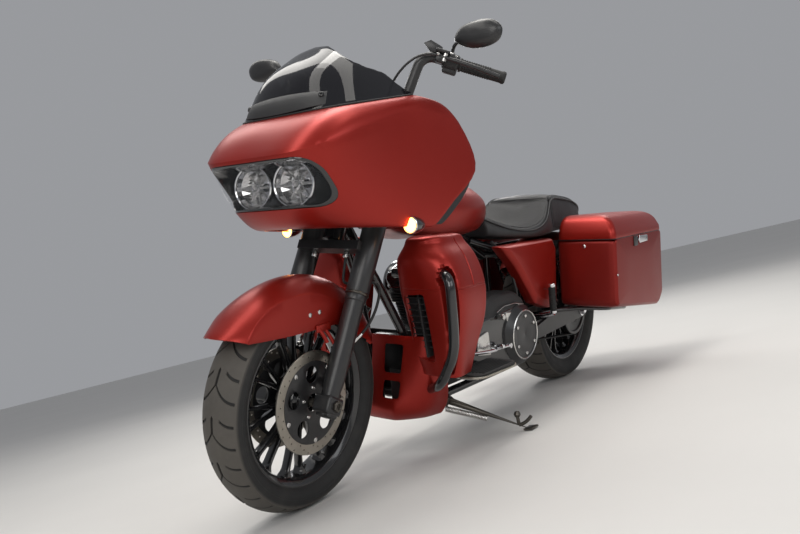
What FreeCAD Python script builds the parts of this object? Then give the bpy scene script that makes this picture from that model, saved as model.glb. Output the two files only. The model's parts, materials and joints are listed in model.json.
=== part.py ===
import FreeCAD, Part
import math
import os
import Sketcher
from FreeCAD import Placement, Rotation, Vector

# Touring cruiser motorcycle, in millimetres, parked on its side stand.
# Everything is drawn on an upright bike with its front wheel straight: X forwards, Y to the left, Z up,
# and the ground point midway between the axles as origin. The last section turns the front end,
# leans the bike onto its stand and puts the origin under the middle of the whole.

os.makedirs("parts", exist_ok=True)
doc = FreeCAD.newDocument("touring_cruiser")
sheet = doc.addObject("Spreadsheet::Sheet", "Sizes")

# name, value, what it is
DRIVING_SIZES = (
    ("wheelbase", 1625, "front axle to rear axle"),
    ("trail", 173, "front axle to where the steering axis meets the ground"),
    ("rake", 26, "angle of the steering axis from upright"),
    ("fork_rake", 28, "angle of the fork legs from upright"),
    ("lean", 12.33, "lean onto the side stand"),
    ("steer", 5.1, "front wheel turned to the left as parked"),
    ("front_tyre_radius", 319, "19 inch front tyre"),
    ("front_tyre_half", 65, "half the front tyre's width"),
    ("front_tyre_height", 78, "front tread to bead seat"),
    ("front_bead_half", 45, "half the width between the front beads"),
    ("rear_tyre_radius", 327, "18 inch rear tyre"),
    ("rear_tyre_half", 90, "half the rear tyre's width"),
    ("rear_tyre_height", 98.4, "rear tread to bead seat"),
    ("rear_bead_half", 70, "half the width between the rear beads"),
    ("crown_drop", 26, "how far the tread falls from the middle to the shoulder"),
    ("axle_radius", 12.5, "both axles"),
    ("running_gap", 0.3, "gap round an axle or a pin"),
    ("fit_gap", 0.3, "gap between pieces that are fitted together"),
    ("clear_gap", 6, "room between pieces that pass each other"),
    ("disc_radius", 150, "front brake disc"),
    ("disc_thick", 5, "all brake discs"),
    ("disc_face", 61, "inner face of a front disc from the middle"),
    ("fork_half", 118, "half the distance between the fork legs"),
    ("fork_tube_radius", 25, "upper fork tube"),
    ("fork_cover_radius", 36, "cover on the upper fork"),
    ("slider_radius", 30, "lower fork leg"),
    ("slider_length", 331, "axle to the top of the lower fork leg"),
    ("lower_yoke_at", 834, "lower yoke, along the steering axis from the ground"),
    ("upper_yoke_at", 1030, "upper yoke, along the steering axis from the ground"),
    ("yoke_thick", 28, "both yokes"),
    ("clamp_radius", 34, "clamps round the fork tubes and the front axle"),
    ("hose_radius", 4, "brake hose"),
    ("stem_radius", 16, "steering stem"),
    ("head_radius", 34, "outside of the steering head"),
    ("bar_radius", 16, "handlebar tube"),
    ("grip_radius", 19, "handlebar grip"),
    ("frame_tube", 15, "radius of the frame's cradle tubes"),
    ("rail_half", 92, "half the distance between the lower frame rails"),
    ("rail_height", 190, "height of the lower frame rails"),
    ("guard_radius", 16, "engine guard tube"),
    ("fender_gap", 42, "front tyre to the inside of its fender"),
    ("fender_wall", 4, "both fenders"),
    ("front_fender_half", 82, "half the front fender's width"),
    ("fender_edge_rise", 230, "front axle up to the straight lower edge of its fender"),
    ("rear_fender_half", 105, "half the rear fender's width"),
    ("rear_fender_gap", 32, "rear tyre to the inside of its fender"),
    ("crank_x", 110, "crankshaft, forward of the middle"),
    ("crank_height", 330, "crankshaft height"),
    ("crankcase_radius", 118, "round part of the crankcase"),
    ("crankcase_half", 96, "half the crankcase's width"),
    ("cylinder_angle", 22.5, "each cylinder from upright"),
    ("barrel_radius", 54, "cylinder barrel"),
    ("fin_radius", 76, "cooling fins"),
    ("fin_thick", 4, "one fin"),
    ("fin_pitch", 13, "fin to fin"),
    ("clutch_x", -190, "middle of the clutch cover"),
    ("clutch_height", 335, "middle of the clutch cover"),
    ("derby_radius", 98, "round clutch cover"),
    ("derby_thick", 24, "round clutch cover"),
    ("primary_back", 126, "inner face of the primary cover beside the belt"),
    ("primary_face", 208, "outer face of the primary cover"),
    ("fairing_wall", 5, "fairing, shields and chin"),
    ("lamp_radius", 59, "one headlamp"),
    ("lamp_half", 80, "half the distance between the headlamps"),
    ("lamp_height", 946, "middle of the headlamps"),
    ("shield_wall", 4, "windshield"),
    ("bag_wall", 5, "saddlebag and its lid"),
    ("bag_inner", 182, "inner face of a saddlebag"),
    ("bag_outer", 430, "outer face of a saddlebag at the front"),
    ("bag_front", -556, "front of a saddlebag"),
    ("bag_rear", -1106, "rear of a saddlebag"),
    ("bag_top", 668, "rim of a saddlebag"),
    ("lid_height", 102, "saddlebag lid"),
    ("stand_x", 262, "side stand's pivot"),
    ("stand_y", 130, "side stand's pivot"),
    ("stand_height", 190, "side stand's pivot"),
    ("post_radius", 9, "post that a rack or a passenger's backrest docks on"),
    ("post_length", 30, "free length of that post"),
    ("post_neck", 3, "length of its thinner neck behind the seat rail's end"),
    ("rail_end", -1010, "rear end of the seat rails"),
    ("rail_end_half", 122, "half the distance between the seat rails there"),
    ("stand_pin", 6, "radius of the side stand's pin"),
    ("stand_foot_x", 131, "side stand's foot on the ground, leaned"),
    ("stand_foot_y", 399, "side stand's foot on the ground, leaned"),
    ("pulley_radius", 108, "rear belt pulley"),
    ("belt_thick", 5, "drive belt"),
    ("belt_width", 25, "drive belt"),
)


class Size(float):
    # a number that keeps the sheet formula it comes from, so that a property can be bound to it
    def __new__(cls, number, formula):
        made = float.__new__(cls, number)
        made.formula = formula
        return made

    def __add__(self, other):
        return joined(self, "+", other, float(self) + float(other))

    def __radd__(self, other):
        return joined(other, "+", self, float(other) + float(self))

    def __sub__(self, other):
        return joined(self, "-", other, float(self) - float(other))

    def __rsub__(self, other):
        return joined(other, "-", self, float(other) - float(self))

    def __mul__(self, other):
        return joined(self, "*", other, float(self) * float(other))

    def __rmul__(self, other):
        return joined(other, "*", self, float(other) * float(self))

    def __truediv__(self, other):
        return joined(self, "/", other, float(self) / float(other))

    def __neg__(self):
        return joined(0, "-", self, -float(self))


def formula_of(value):
    return value.formula if isinstance(value, Size) else f"({float(value)!r})"


def joined(left, sign, right, number):
    return Size(number, f"({formula_of(left)} {sign} {formula_of(right)})")


size = {}
for row, (name, value, note) in enumerate(DRIVING_SIZES, start=1):
    sheet.set(f"A{row}", name)
    sheet.set(f"B{row}", str(value))
    sheet.set(f"C{row}", note)
    sheet.setAlias(f"B{row}", name)
    size[name] = Size(value, f"Sizes.{name}")
doc.recompute()

SIDES = (1, -1)
FORWARDS = Vector(1, 0, 0)
UP = Vector(0, 0, 1)
LEFT = Vector(0, 1, 0)

front_axle = (size["wheelbase"] / 2, 0, size["front_tyre_radius"])
rear_axle = (-size["wheelbase"] / 2, 0, size["rear_tyre_radius"])
steer_foot = Vector(front_axle[0] + size["trail"], 0, 0)
steer_dir = Vector(-math.sin(math.radians(size["rake"])), 0, math.cos(math.radians(size["rake"])))
steer_fore = Vector(steer_dir.z, 0, -steer_dir.x)
fork_dir = Vector(-math.sin(math.radians(size["fork_rake"])), 0, math.cos(math.radians(size["fork_rake"])))
fork_fore = Vector(fork_dir.z, 0, -fork_dir.x)

# The tables of points below are drawn for axles at these places (x, z). spot() takes a drawn point along
# with the real axles: what lies beyond the rigid stations keeps its place from its axle, and the middle
# stretches.
DRAWN_FRONT = (812.5, 319)
DRAWN_REAR = (-812.5, 327)
RIGID_FRONT = 240
RIGID_REAR = -340
front_shift = front_axle[0] - DRAWN_FRONT[0]
front_lift = 2 * (front_axle[2] - DRAWN_FRONT[1])
rear_shift = rear_axle[0] - DRAWN_REAR[0]
rear_lift = 2 * (rear_axle[2] - DRAWN_REAR[1])


def spot(x, y, z):
    share = min(1, x / (RIGID_FRONT if x > 0 else RIGID_REAR))
    shift, lift = (front_shift, front_lift) if x > 0 else (rear_shift, rear_lift)
    return Vector(x + shift * share, y, z + lift * share)


def side_view(profile):
    # a drawn side view of (x, z) points, taken along in the same way
    return [(point.x, point.z) for point in (spot(x, 0, z) for x, z in profile)]


def on_steering(along, fore=0, side=0):
    return steer_foot + steer_dir * along + steer_fore * fore + LEFT * side


def on_fork(along, rear=0, side=0):
    return Vector(*front_axle) + fork_dir * along - fork_fore * rear + LEFT * side


# Objects of the document whose sizes are bound to the sheet

def bind(thing, prop, value):
    if isinstance(value, Size):
        thing.setExpression(prop, value.formula)
    else:
        setattr(thing, prop, float(value))


def put(thing, at, turn=Rotation()):
    thing.Placement = Placement(Vector(*at), turn)
    for axis, value in zip("xyz", at):
        if isinstance(value, Size):
            thing.setExpression(f"Placement.Base.{axis}", value.formula)
    return thing


def box(x_range, y_range, z_range):
    thing = doc.addObject("Part::Box", "Block")
    for prop, (low, high) in zip(("Length", "Width", "Height"), (x_range, y_range, z_range)):
        bind(thing, prop, high - low)
    return put(thing, (x_range[0], y_range[0], z_range[0]))


def rod(radius, length, at, along=LEFT):
    thing = doc.addObject("Part::Cylinder", "Rod")
    bind(thing, "Radius", radius)
    bind(thing, "Height", length)
    return put(thing, at, Rotation(UP, Vector(along)))


def fuse(*things):
    whole = doc.addObject("Part::MultiFuse", "Joined")
    whole.Shapes = list(things)
    return whole


def cut(base, *tools):
    whole = doc.addObject("Part::Cut", "Trimmed")
    whole.Base = base
    whole.Tool = tools[0] if len(tools) == 1 else fuse(*tools)
    return whole


def group(*things):
    whole = doc.addObject("Part::Compound", "Set")
    whole.Links = list(things)
    return whole


# Shapes that need lofts or bent tubes

def feature(shape):
    thing = doc.addObject("Part::Feature", "Form")
    thing.Shape = shape
    return thing


def outline(points):
    return Part.makePolygon([*points, points[0]])


def loft(sections):
    return Part.makeLoft([outline(points) for points in sections], True, True)


def side_prism(profile, low, high):
    # a side view profile of (x, z) points, from y = low to y = high
    face = Part.Face(outline([Vector(x, low, z) for x, z in profile]))
    return face.extrude(Vector(0, high - low, 0))


def front_prism(profile, low, high):
    # a drawn front view of (y, z) points, from x = low to x = high, ahead of the rigid station
    face = Part.Face(outline([spot(low, y, z) for y, z in profile]))
    return face.extrude(Vector(high - low, 0, 0))


def bent_path(points, bend):
    # straight runs joined by arcs of the bend radius
    edges = []
    start = points[0]
    for before, corner, after in zip(points, points[1:], points[2:]):
        back = (before - corner).normalize()
        ahead = (after - corner).normalize()
        half = back.getAngle(ahead) / 2
        shorter = min(before.distanceToPoint(corner), after.distanceToPoint(corner))
        reach = min(bend / math.tan(half), 0.45 * shorter)
        middle = (back + ahead).normalize()
        depth = reach / math.cos(half) - reach * math.tan(half)
        first = corner + back * reach
        last = corner + ahead * reach
        edges.append(Part.LineSegment(start, first).toShape())
        edges.append(Part.Arc(first, corner + middle * depth, last).toShape())
        start = last
    edges.append(Part.LineSegment(start, points[-1]).toShape())
    return Part.Wire(edges)


def tube(points, radius, bend):
    points = [Vector(*point) for point in points]
    path = bent_path(points, bend) if len(points) > 2 else Part.Wire(Part.makeLine(*points))
    ring = Part.Wire(Part.makeCircle(radius, points[0], points[1] - points[0]))
    return path.makePipeShell([ring], True, False)


def turned_body(profile):
    # a body turned from a profile of (y, r) corners about the Y axis
    body = doc.addObject("PartDesign::Body", "Turned")
    planes = {plane.Role: plane for plane in body.Origin.OriginFeatures}
    sketch = body.newObject("Sketcher::SketchObject", "Profile")
    sketch.AttachmentSupport = [(planes["YZ_Plane"], "")]
    sketch.MapMode = "FlatFace"
    draw(sketch, profile)
    turned = body.newObject("PartDesign::Revolution", "Turn")
    turned.Profile = sketch
    turned.ReferenceAxis = (sketch, ["H_Axis"])
    turned.Angle = 360
    body.Tip = turned
    return body


def draw(sketch, corners):
    # corners of (across, up), or (across, up, radius) where the edge to the next one bulges to the left
    places = [Vector(corner[0], corner[1], 0) for corner in corners]
    ends = []
    for index, corner in enumerate(corners):
        start, end = places[index], places[(index + 1) % len(places)]
        if len(corner) == 2:
            sketch.addGeometry(Part.LineSegment(start, end), False)
            ends.append((1, 2))
            continue
        chord = end - start
        inward = Vector(chord.y, -chord.x, 0).normalize()
        centre = (start + end) / 2 + inward * math.sqrt(corner[2] ** 2 - (chord.Length / 2) ** 2)
        first, last = (math.atan2(point.y - centre.y, point.x - centre.x) for point in (end, start))
        sketch.addGeometry(Part.ArcOfCircle(Part.Circle(centre, UP, float(corner[2])), first, last), False)
        ends.append((2, 1))
    for index, corner in enumerate(corners):
        following = (index + 1) % len(corners)
        meeting = Sketcher.Constraint("Coincident", index, ends[index][1], following, ends[following][0])
        sketch.addConstraint(meeting)
        for kind, axis, value in (("DistanceX", -2, corner[0]), ("DistanceY", -1, corner[1])):
            if float(value) == 0:
                sketch.addConstraint(Sketcher.Constraint("PointOnObject", index, ends[index][0], axis))
                continue
            made = sketch.addConstraint(Sketcher.Constraint(kind, -1, 1, index, ends[index][0], float(value)))
            if isinstance(value, Size):
                sketch.setExpression(f"Constraints[{made}]", value.formula)
        if len(corner) == 3:
            made = sketch.addConstraint(Sketcher.Constraint("Radius", index, float(corner[2])))
            if isinstance(corner[2], Size):
                sketch.setExpression(f"Constraints[{made}]", corner[2].formula)


belt_face = size["rear_tyre_half"] + 8

# The bike's pieces: name of the node -> (object, how it is placed)
PIECES = {}


def keep(name, thing, placed="bike"):
    PIECES[name] = (thing, placed)
    thing.Label = name


FLANGE_RISE = 10
SPOKES = 18
SPOKE_HALF = (9, 6)
REAR_HUB_HALF = 98
DISC_WINDOWS = 5
DISC_WINDOW_RADIUS = 21
DISC_WINDOW_AT = 78
REAR_DISC_RADIUS = 146


def tyre(radius, half, bead_radius, bead_half):
    # the tread is one arc from shoulder to shoulder, above the walls down to the beads
    drop = size["crown_drop"]
    crown = (half * half + drop * drop) / (2 * drop)
    shoulder = radius - drop
    over_flange = bead_radius + FLANGE_RISE + 1
    return turned_body((
        (-half, shoulder, crown),
        (half, shoulder),
        (half * 0.96, over_flange + 14),
        (bead_half + 1, over_flange),
        (bead_half, over_flange),
        (bead_half, bead_radius),
        (-bead_half, bead_radius),
        (-bead_half, over_flange),
        (-bead_half - 1, over_flange),
        (-half * 0.96, over_flange + 14),
    ))


def rim(bead_radius, bead_half, hub_radius, hub_half):
    # one turned profile: flanges, bead seats, drop centre, and the hub joined by the spokes
    flange = bead_radius + FLANGE_RISE
    bed = bead_radius - 13
    turned = turned_body((
        (-bead_half - 6, flange),
        (-bead_half, flange),
        (-bead_half, bead_radius),
        (bead_half, bead_radius),
        (bead_half, flange),
        (bead_half + 6, flange),
        (bead_half + 6, bed + 8),
        (bead_half - 8, bed),
        (-bead_half + 8, bed),
        (-bead_half - 6, bed + 8),
    ))
    hub = rod(hub_radius, hub_half * 2, (0, -hub_half, 0))
    arms = []
    across, around = SPOKE_HALF
    for index in range(SPOKES):
        arm = box((0, bed + 4), (-across, across), (-around, around))
        arm.Placement = Placement(Vector(0, 0, 0), Rotation(LEFT, 360 * index / SPOKES)) * arm.Placement
        arms.append(arm)
    bore = rod(size["axle_radius"] + size["running_gap"], hub_half * 2 + 2, (0, -hub_half - 1, 0))
    return cut(fuse(turned, hub, *arms), bore)


def wheels():
    # which wheel, hub radius, half the hub's width
    for end, hub_radius, hub_half in (("front", 42, size["disc_face"]), ("rear", 48, REAR_HUB_HALF)):
        radius = size[f"{end}_tyre_radius"]
        bead_radius = radius - size[f"{end}_tyre_height"]
        bead_half = size[f"{end}_bead_half"]
        keep(f"{end}_tyre", tyre(radius, size[f"{end}_tyre_half"], bead_radius, bead_half), f"{end} wheel")
        keep(f"{end}_rim", rim(bead_radius, bead_half, hub_radius, hub_half), f"{end} wheel")

    discs = []
    for side in SIDES:
        face = size["disc_face"] if side > 0 else -size["disc_face"] - size["disc_thick"]
        windows = []
        for index in range(DISC_WINDOWS):
            angle = math.radians(360 * index / DISC_WINDOWS + 18)
            at = (DISC_WINDOW_AT * math.cos(angle), face - 1, DISC_WINDOW_AT * math.sin(angle))
            windows.append(rod(DISC_WINDOW_RADIUS, size["disc_thick"] + 2, at))
        bore = rod(size["axle_radius"] + size["running_gap"], size["disc_thick"] + 2, (0, face - 1, 0))
        discs.append(cut(rod(size["disc_radius"], size["disc_thick"], (0, face, 0)), bore, *windows))
    keep("front_discs", group(*discs), "front wheel")

    hub_bore = size["axle_radius"] + size["running_gap"]
    disc_face = -belt_face - size["disc_thick"]
    pulley = cut(rod(size["pulley_radius"], size["belt_width"], (0, belt_face, 0)),
                 rod(hub_bore, size["belt_width"] + 2, (0, belt_face - 1, 0)))
    disc = cut(rod(REAR_DISC_RADIUS, size["disc_thick"], (0, disc_face, 0)),
               rod(hub_bore, size["disc_thick"] + 2, (0, disc_face - 1, 0)))
    keep("rear_disc_and_pulley", group(pulley, disc), "rear wheel")


AXLE_CLAMP = 62
low_yoke, high_yoke = (size[f"{which}_yoke_at"] + front_lift / steer_dir.z for which in ("lower", "upper"))


def fork_behind(at):
    # how far ahead of the steering axis the fork legs pass, at this height along it: less than nothing
    up = on_steering(at) - Vector(*front_axle)
    leg = fork_dir * (up.dot(steer_dir) / fork_dir.dot(steer_dir))
    return (leg - up).dot(steer_fore)


def front_end():
    yoke = size["yoke_thick"]
    leg_half = size["fork_half"]
    low, high = low_yoke, high_yoke
    stem = rod(size["stem_radius"], high - low, on_steering(low), steer_dir)
    pieces = [stem]
    for at in (low, high):
        plate = doc.addObject("Part::Box", "Yoke")
        bind(plate, "Length", 46)
        bind(plate, "Width", 2 * leg_half)
        bind(plate, "Height", yoke)
        plate.Placement = Placement(on_steering(at - yoke / 2, -22, -leg_half), Rotation(UP, steer_dir))
        pieces.append(plate)
        for side in SIDES:
            foot = on_steering(at - yoke / 2, fork_behind(at), leg_half * side)
            pieces.append(rod(size["clamp_radius"], yoke, foot, steer_dir))
    keep_clear = size["fork_tube_radius"] + size["fit_gap"]
    legs = []
    bores = []
    slider = size["slider_length"]
    axle_centre = Vector(*front_axle)
    tube_top = (on_steering(high + yoke / 2, fork_behind(high)) - axle_centre).dot(fork_dir) + 8
    cover_top = (on_steering(low - yoke / 2, fork_behind(low)) - axle_centre).dot(fork_dir) - 2
    for side in SIDES:
        half = leg_half * side
        legs.append(rod(size["fork_tube_radius"], tube_top, on_fork(0, 0, half), fork_dir))
        legs.append(rod(size["slider_radius"], slider, on_fork(0, 0, half), fork_dir))
        legs.append(rod(size["fork_cover_radius"], cover_top - slider, on_fork(slider, 0, half), fork_dir))
        clamp_at = (front_axle[0], half - AXLE_CLAMP / 2, front_axle[2])
        legs.append(rod(size["clamp_radius"], AXLE_CLAMP, clamp_at))
        bores.append(rod(keep_clear, tube_top + 60, on_fork(0, 0, half), fork_dir))
    axle = rod(size["axle_radius"], leg_half * 2 + 52, (front_axle[0], -leg_half - 26, front_axle[2]))
    keep("yokes", cut(fuse(*pieces), *bores), "steering")
    keep("fork_legs", fuse(*legs, axle), "steering")


ELBOW = spot(432, 235, 1322)
GRIP_END = spot(308, 445, 1239)
BAR_FOOT = spot(505, 110, 975)
MIRROR = spot(439, 420, 1353)
GRIP_FROM = 118
RISER_RADIUS = 17
RISER_HALF = 45


def handlebar():
    grip_dir = (GRIP_END - ELBOW).normalize()
    grip_start = ELBOW + grip_dir * GRIP_FROM
    left = [grip_start, ELBOW, BAR_FOOT]
    points = [tuple(point) for point in left] + [tuple(Vector(p.x, -p.y, p.z)) for p in reversed(left)]
    bar = tube(points, size["bar_radius"], 44)
    bar_at = (BAR_FOOT - steer_foot).dot(steer_dir)
    yoke_top = high_yoke + size["yoke_thick"] / 2
    risers = []
    for side in SIDES:
        foot = on_steering(yoke_top, 0, RISER_HALF * side)
        risers.append(Part.makeCylinder(RISER_RADIUS, bar_at - yoke_top, foot, steer_dir))
    keep("handlebar", feature(bar.fuse(risers).removeSplitter()), "steering")

    controls = []
    mirrors = []
    for side in SIDES:
        along = Vector(grip_dir.x, grip_dir.y * side, grip_dir.z)
        start = Vector(grip_start.x, grip_start.y * side, grip_start.z)
        forward = (along * side).cross(UP).normalize()
        house_at = start - along * 52
        grip = Part.makeCylinder(size["grip_radius"], GRIP_END.distanceToPoint(grip_start), start, along)
        bore = Part.makeCylinder(size["bar_radius"] + size["fit_gap"], 60, house_at - along * 4, along)
        house = Part.makeCylinder(26, 46, house_at, along)
        perch = Part.makeBox(34, 26, 34)
        perch.Placement = Placement(house_at + forward * 12 + along * (40 if side < 0 else 6) - UP * 14,
                                    Rotation(along * side, forward.cross(along * side), forward, "XYZ"))
        lever_foot = house_at + forward * 40 + along * 16
        knee = lever_foot + along * 60 + forward * 20
        lever = tube([lever_foot, knee, lever_foot + along * 175 + forward * 4], 6, 80)
        controls.append(grip)
        controls.append(house.fuse([perch, lever]).cut(bore))

        head = Vector(MIRROR.x, MIRROR.y * side, MIRROR.z)
        foot = house_at + along * 26
        stem = tube([foot, foot + Vector(10, 0, 50), head], 5, 24)
        glass = mirror_head()
        if side < 0:
            glass = glass.mirror(Vector(0, 0, 0), LEFT)
        glass.translate(head)
        mirrors.append(stem.fuse(glass).cut(house).cut(bore))
    keep("hand_controls", feature(Part.makeCompound(controls)), "steering")
    keep("mirrors", feature(Part.makeCompound(mirrors)), "steering")


def mirror_head():
    # a flat teardrop: one outline of (y, z) at three places (x) of its thickness, each with its own scale
    corners = ((-72, -8), (-50, 26), (0, 38), (50, 34), (78, 8), (70, -22), (30, -38), (-30, -34))
    sections = []
    for x, scale in ((16, 0.62), (4, 1), (-16, 0.96)):
        sections.append([Vector(x, y * scale, z * scale) for y, z in corners])
    return loft(sections)


def fender_section(centre, angle, crown, half, wall, inner, drop):
    # an upside-down U in the plane through the axle at this angle
    radial = Vector(math.cos(math.radians(angle)), 0, math.sin(math.radians(angle)))
    outer = ((half, inner), (half, crown - drop), (half * 0.55, crown - drop * 0.27), (0, crown))
    points = [(y, r) for y, r in outer] + [(-y, r) for y, r in reversed(outer[:-1])]
    within = ((half - wall, inner), (half - wall, crown - drop - wall),
              (half * 0.54, crown - drop * 0.27 - wall), (0, crown - wall))
    points += [(-y, r) for y, r in within] + [(y, r) for y, r in reversed(within[:-1])]
    return [Vector(*centre) + radial * r + LEFT * y for y, r in points]


# Front fender: angle round the axle, height of the crown above its round part
FENDER_STATIONS = ((33, 48), (42, 26), (55, 10), (75, 0))
FENDER_LAST = 156
FENDER_SKIRT = 165
FENDER_SHOULDER = 16
FENDER_LUG_AT = 265


def front_fender():
    half, wall = size["front_fender_half"], size["fender_wall"]
    crown = size["front_tyre_radius"] + size["fender_gap"] + wall
    skirt = crown - FENDER_SKIRT
    sections = [fender_section(front_axle, angle, crown + flare, half, wall, skirt, FENDER_SHOULDER)
                for angle, flare in FENDER_STATIONS]
    sweep = FENDER_LAST - FENDER_STATIONS[-1][0]
    round_part = Part.Face(outline(sections[-1])).revolve(Vector(*front_axle), -LEFT, sweep)
    shell = loft(sections).fuse(round_part)
    edge = front_axle[2] + size["fender_edge_rise"]
    below = Part.makeBox(1200, 400, edge, Vector(front_axle[0] - 600, -200, 0))
    # behind the wheel the fender's lower edge slopes down from the straight edge
    start, end = front_axle[0] - 100, front_axle[0] - 520
    rear_low = side_prism(((start, edge), (end, front_axle[2] + 11), (end, edge)), -200, 200)
    shell = shell.cut(below.cut(rear_low))
    lugs = []
    leg = [Part.makeCylinder(size["slider_radius"] + size["fit_gap"], size["slider_length"],
                             on_fork(0, 0, size["fork_half"] * side), fork_dir) for side in SIDES]
    inner = half - wall
    reach = size["fork_half"] - 18 - inner
    for side in SIDES:
        start = on_fork(FENDER_LUG_AT, 0, inner * side)
        lugs.append(Part.makeCylinder(14, reach, start, LEFT * side).cut(Part.makeCompound(leg)))
    keep("front_fender", feature(shell.fuse(lugs)), "steering")

    # inner and outer face of each block, and its stretch along and behind the leg
    slot_low = size["disc_face"] - size["clear_gap"] + 1
    slot_high = size["disc_face"] + size["disc_thick"] + size["clear_gap"] - 1
    top, near, far = 172, 34, 96
    blocks = ((slot_high, slot_high + 24, 44, top, near, far), (slot_low - 16, slot_low, 60, top, near, far),
              (slot_low - 4, slot_high + 4, top - 14, top, near, far),
              (slot_high + 14, slot_high + 36, 60, 140, near - 14, near + 10))
    calipers = []
    for side in SIDES:
        parts = []
        for low, high, start, end, near, far in blocks:
            block = Part.makeBox(far - near, high - low, end - start)
            block.Placement = Placement(on_fork(start, far, low if side > 0 else -high),
                                        Rotation(fork_fore, LEFT, fork_dir, "XYZ"))
            parts.append(block)
        # a brake hose from the caliper up behind the leg to a block under the lower yoke
        block_at = on_steering(low_yoke - size["yoke_thick"] / 2, -2, 62 * side)
        union = Part.makeCylinder(9, 18, block_at - steer_dir * 18, steer_dir)
        runs = [on_fork(top - 4, 66, (slot_high + 14) * side), on_fork(top + 50, 62, 92 * side),
                on_fork(top + 170, 54, 92 * side), block_at - steer_dir * 60 - steer_fore * 10,
                block_at - steer_dir * 16]
        parts += [tube(runs, size["hose_radius"], 36), union]
        calipers.append(parts[0].fuse(parts[1:]).cut(Part.makeCompound(leg)))
    keep("front_calipers", feature(Part.makeCompound(calipers)), "steering")


HEAD_MIDDLE = on_steering((low_yoke + high_yoke) / 2)
BACKBONE = (HEAD_MIDDLE, spot(430, 0, 815), spot(40, 0, 788), spot(-240, 0, 640))
BACKBONE_RADIUS = 24
REAR_UPRIGHT = 78
RAIL_END_HEIGHT = 652
POST_START = size["rail_end"] - size["post_neck"]
# x and height of the bag carriers on the seat rails, and x, height and half length of the frame's cross tubes
BAG_CARRIERS = ((-620, 646.7), (-940, 651))
CROSS_TUBES = ((-372, 300, 136 - size["fit_gap"]), (-240, 640, 76), (-398, 640, 100),
               (280, size["rail_height"], size["rail_half"]))


def backbone(gap=0):
    return tube(BACKBONE, BACKBONE_RADIUS + gap, 120)


def cradle(side, gap=0):
    # from the steering head down in front of the engine, under it and up behind the gearbox
    half, low = size["rail_half"], size["rail_height"]
    points = ((478, 40, 640), (398, 80, 440), (345, half, 235), (290, half, low),
              (-320, half, low), (-396, REAR_UPRIGHT, 246), (-398, REAR_UPRIGHT, 655))
    head = Vector(HEAD_MIDDLE.x, 12 * side, HEAD_MIDDLE.z)
    return tube([head, *(spot(x, y * side, z) for x, y, z in points)], size["frame_tube"] + gap, 60)


def seat_rail(side, gap=0):
    half = size["rail_end_half"]
    points = ((-120, 20, 704), (-220, 70, 666), (-420, half, 644), (size["rail_end"], half, RAIL_END_HEIGHT))
    return tube([spot(x, y * side, z) for x, y, z in points], size["frame_tube"] - 1 + gap, 80)


def cradles(gap):
    return Part.makeCompound([cradle(side, gap) for side in SIDES])


def seat_rails(gap):
    return Part.makeCompound([seat_rail(side, gap) for side in SIDES])


def frame():
    head_from = low_yoke + size["yoke_thick"] / 2 + size["clear_gap"]
    head_to = high_yoke - size["yoke_thick"] / 2 - size["clear_gap"]
    head = Part.makeCylinder(size["head_radius"], head_to - head_from, on_steering(head_from), steer_dir)
    bore = Part.makeCylinder(size["stem_radius"] + size["running_gap"], head_to - head_from + 40,
                             on_steering(head_from - 20), steer_dir)
    tubes = [backbone()]
    rail_half, bag_inner = size["rail_end_half"], size["bag_inner"]
    for side in SIDES:
        tubes += [cradle(side), seat_rail(side)]
        # the fairing's carrier, from the head to the back of the headlamp housing, with the dash's upright
        start = on_steering((low_yoke + high_yoke) / 2, 10, 12 * side)
        end = spot(LAMP_BACK + 20, 66 * side, 925)
        carrier = tube([start, end], 11, 0)
        ahead = Part.makeBox(100, 200, 100, spot(LAMP_BACK - size["fit_gap"], -100, 870))
        middle = (start + end) * 0.5
        rise = spot(middle.x, 0, DASH_FLOOR).z - size["fit_gap"] - middle.z
        tubes += [carrier.cut(ahead), Part.makeCylinder(9, rise, middle, UP)]
        for x, z in BAG_CARRIERS:
            foot = spot(x, rail_half if side > 0 else -bag_inner, z)
            tubes.append(Part.makeCylinder(8, bag_inner - rail_half, foot, LEFT))
        # the posts that a rack or a passenger's backrest docks on
        tip = spot(POST_START - size["post_length"], rail_half * side, RAIL_END_HEIGHT)
        neck_length = size["post_length"] + size["post_neck"] + 20
        tubes += [Part.makeCylinder(size["post_radius"], size["post_length"], tip, FORWARDS),
                  Part.makeCylinder(size["post_radius"] - 2, neck_length, tip, FORWARDS)]
    for x, z, reach in CROSS_TUBES:
        tubes.append(Part.makeCylinder(size["frame_tube"] - 2, 2 * reach, spot(x, -reach, z), LEFT))
    shape = head.fuse(tubes + stand_bracket()).cut(bore)
    keep("frame", feature(shape))


LAMP_BACK = 748
LAMP_FRONT = 806
DASH_FLOOR = 946
STAND_PIVOT = spot(size["stand_x"], size["stand_y"], size["stand_height"])
STAND_AXIS = Vector(-0.55, 0.6, 1).normalize()
BOSS_HALF = 12


def stand_bracket():
    pivot = STAND_PIVOT
    inward = (STAND_AXIS * STAND_AXIS.y - LEFT).normalize()
    across = STAND_AXIS.cross(inward)
    plate = Part.makeBox(68, 38, 8)
    corner = pivot + STAND_AXIS * (BOSS_HALF + 1) - inward * 18 - across * 19
    plate.Placement = Placement(corner, Rotation(inward, across, STAND_AXIS, "XYZ"))
    pin_half = BOSS_HALF + 4
    pin = Part.makeCylinder(size["stand_pin"], 2 * pin_half, pivot - STAND_AXIS * pin_half, STAND_AXIS)
    web = Part.makeBox(38, 12, 44, Vector(pivot.x - 42, size["rail_half"] + 6, pivot.z))
    return [plate, pin, web]


HEAD_HALF = 78
HEAD_AT = 140
FINS = 9
FIRST_FIN = 18
CLEANER_X = 118
MUFFLER_RADIUS = 44
MUFFLER_LENGTH = 800
PIPE_RADIUS = 21


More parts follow.
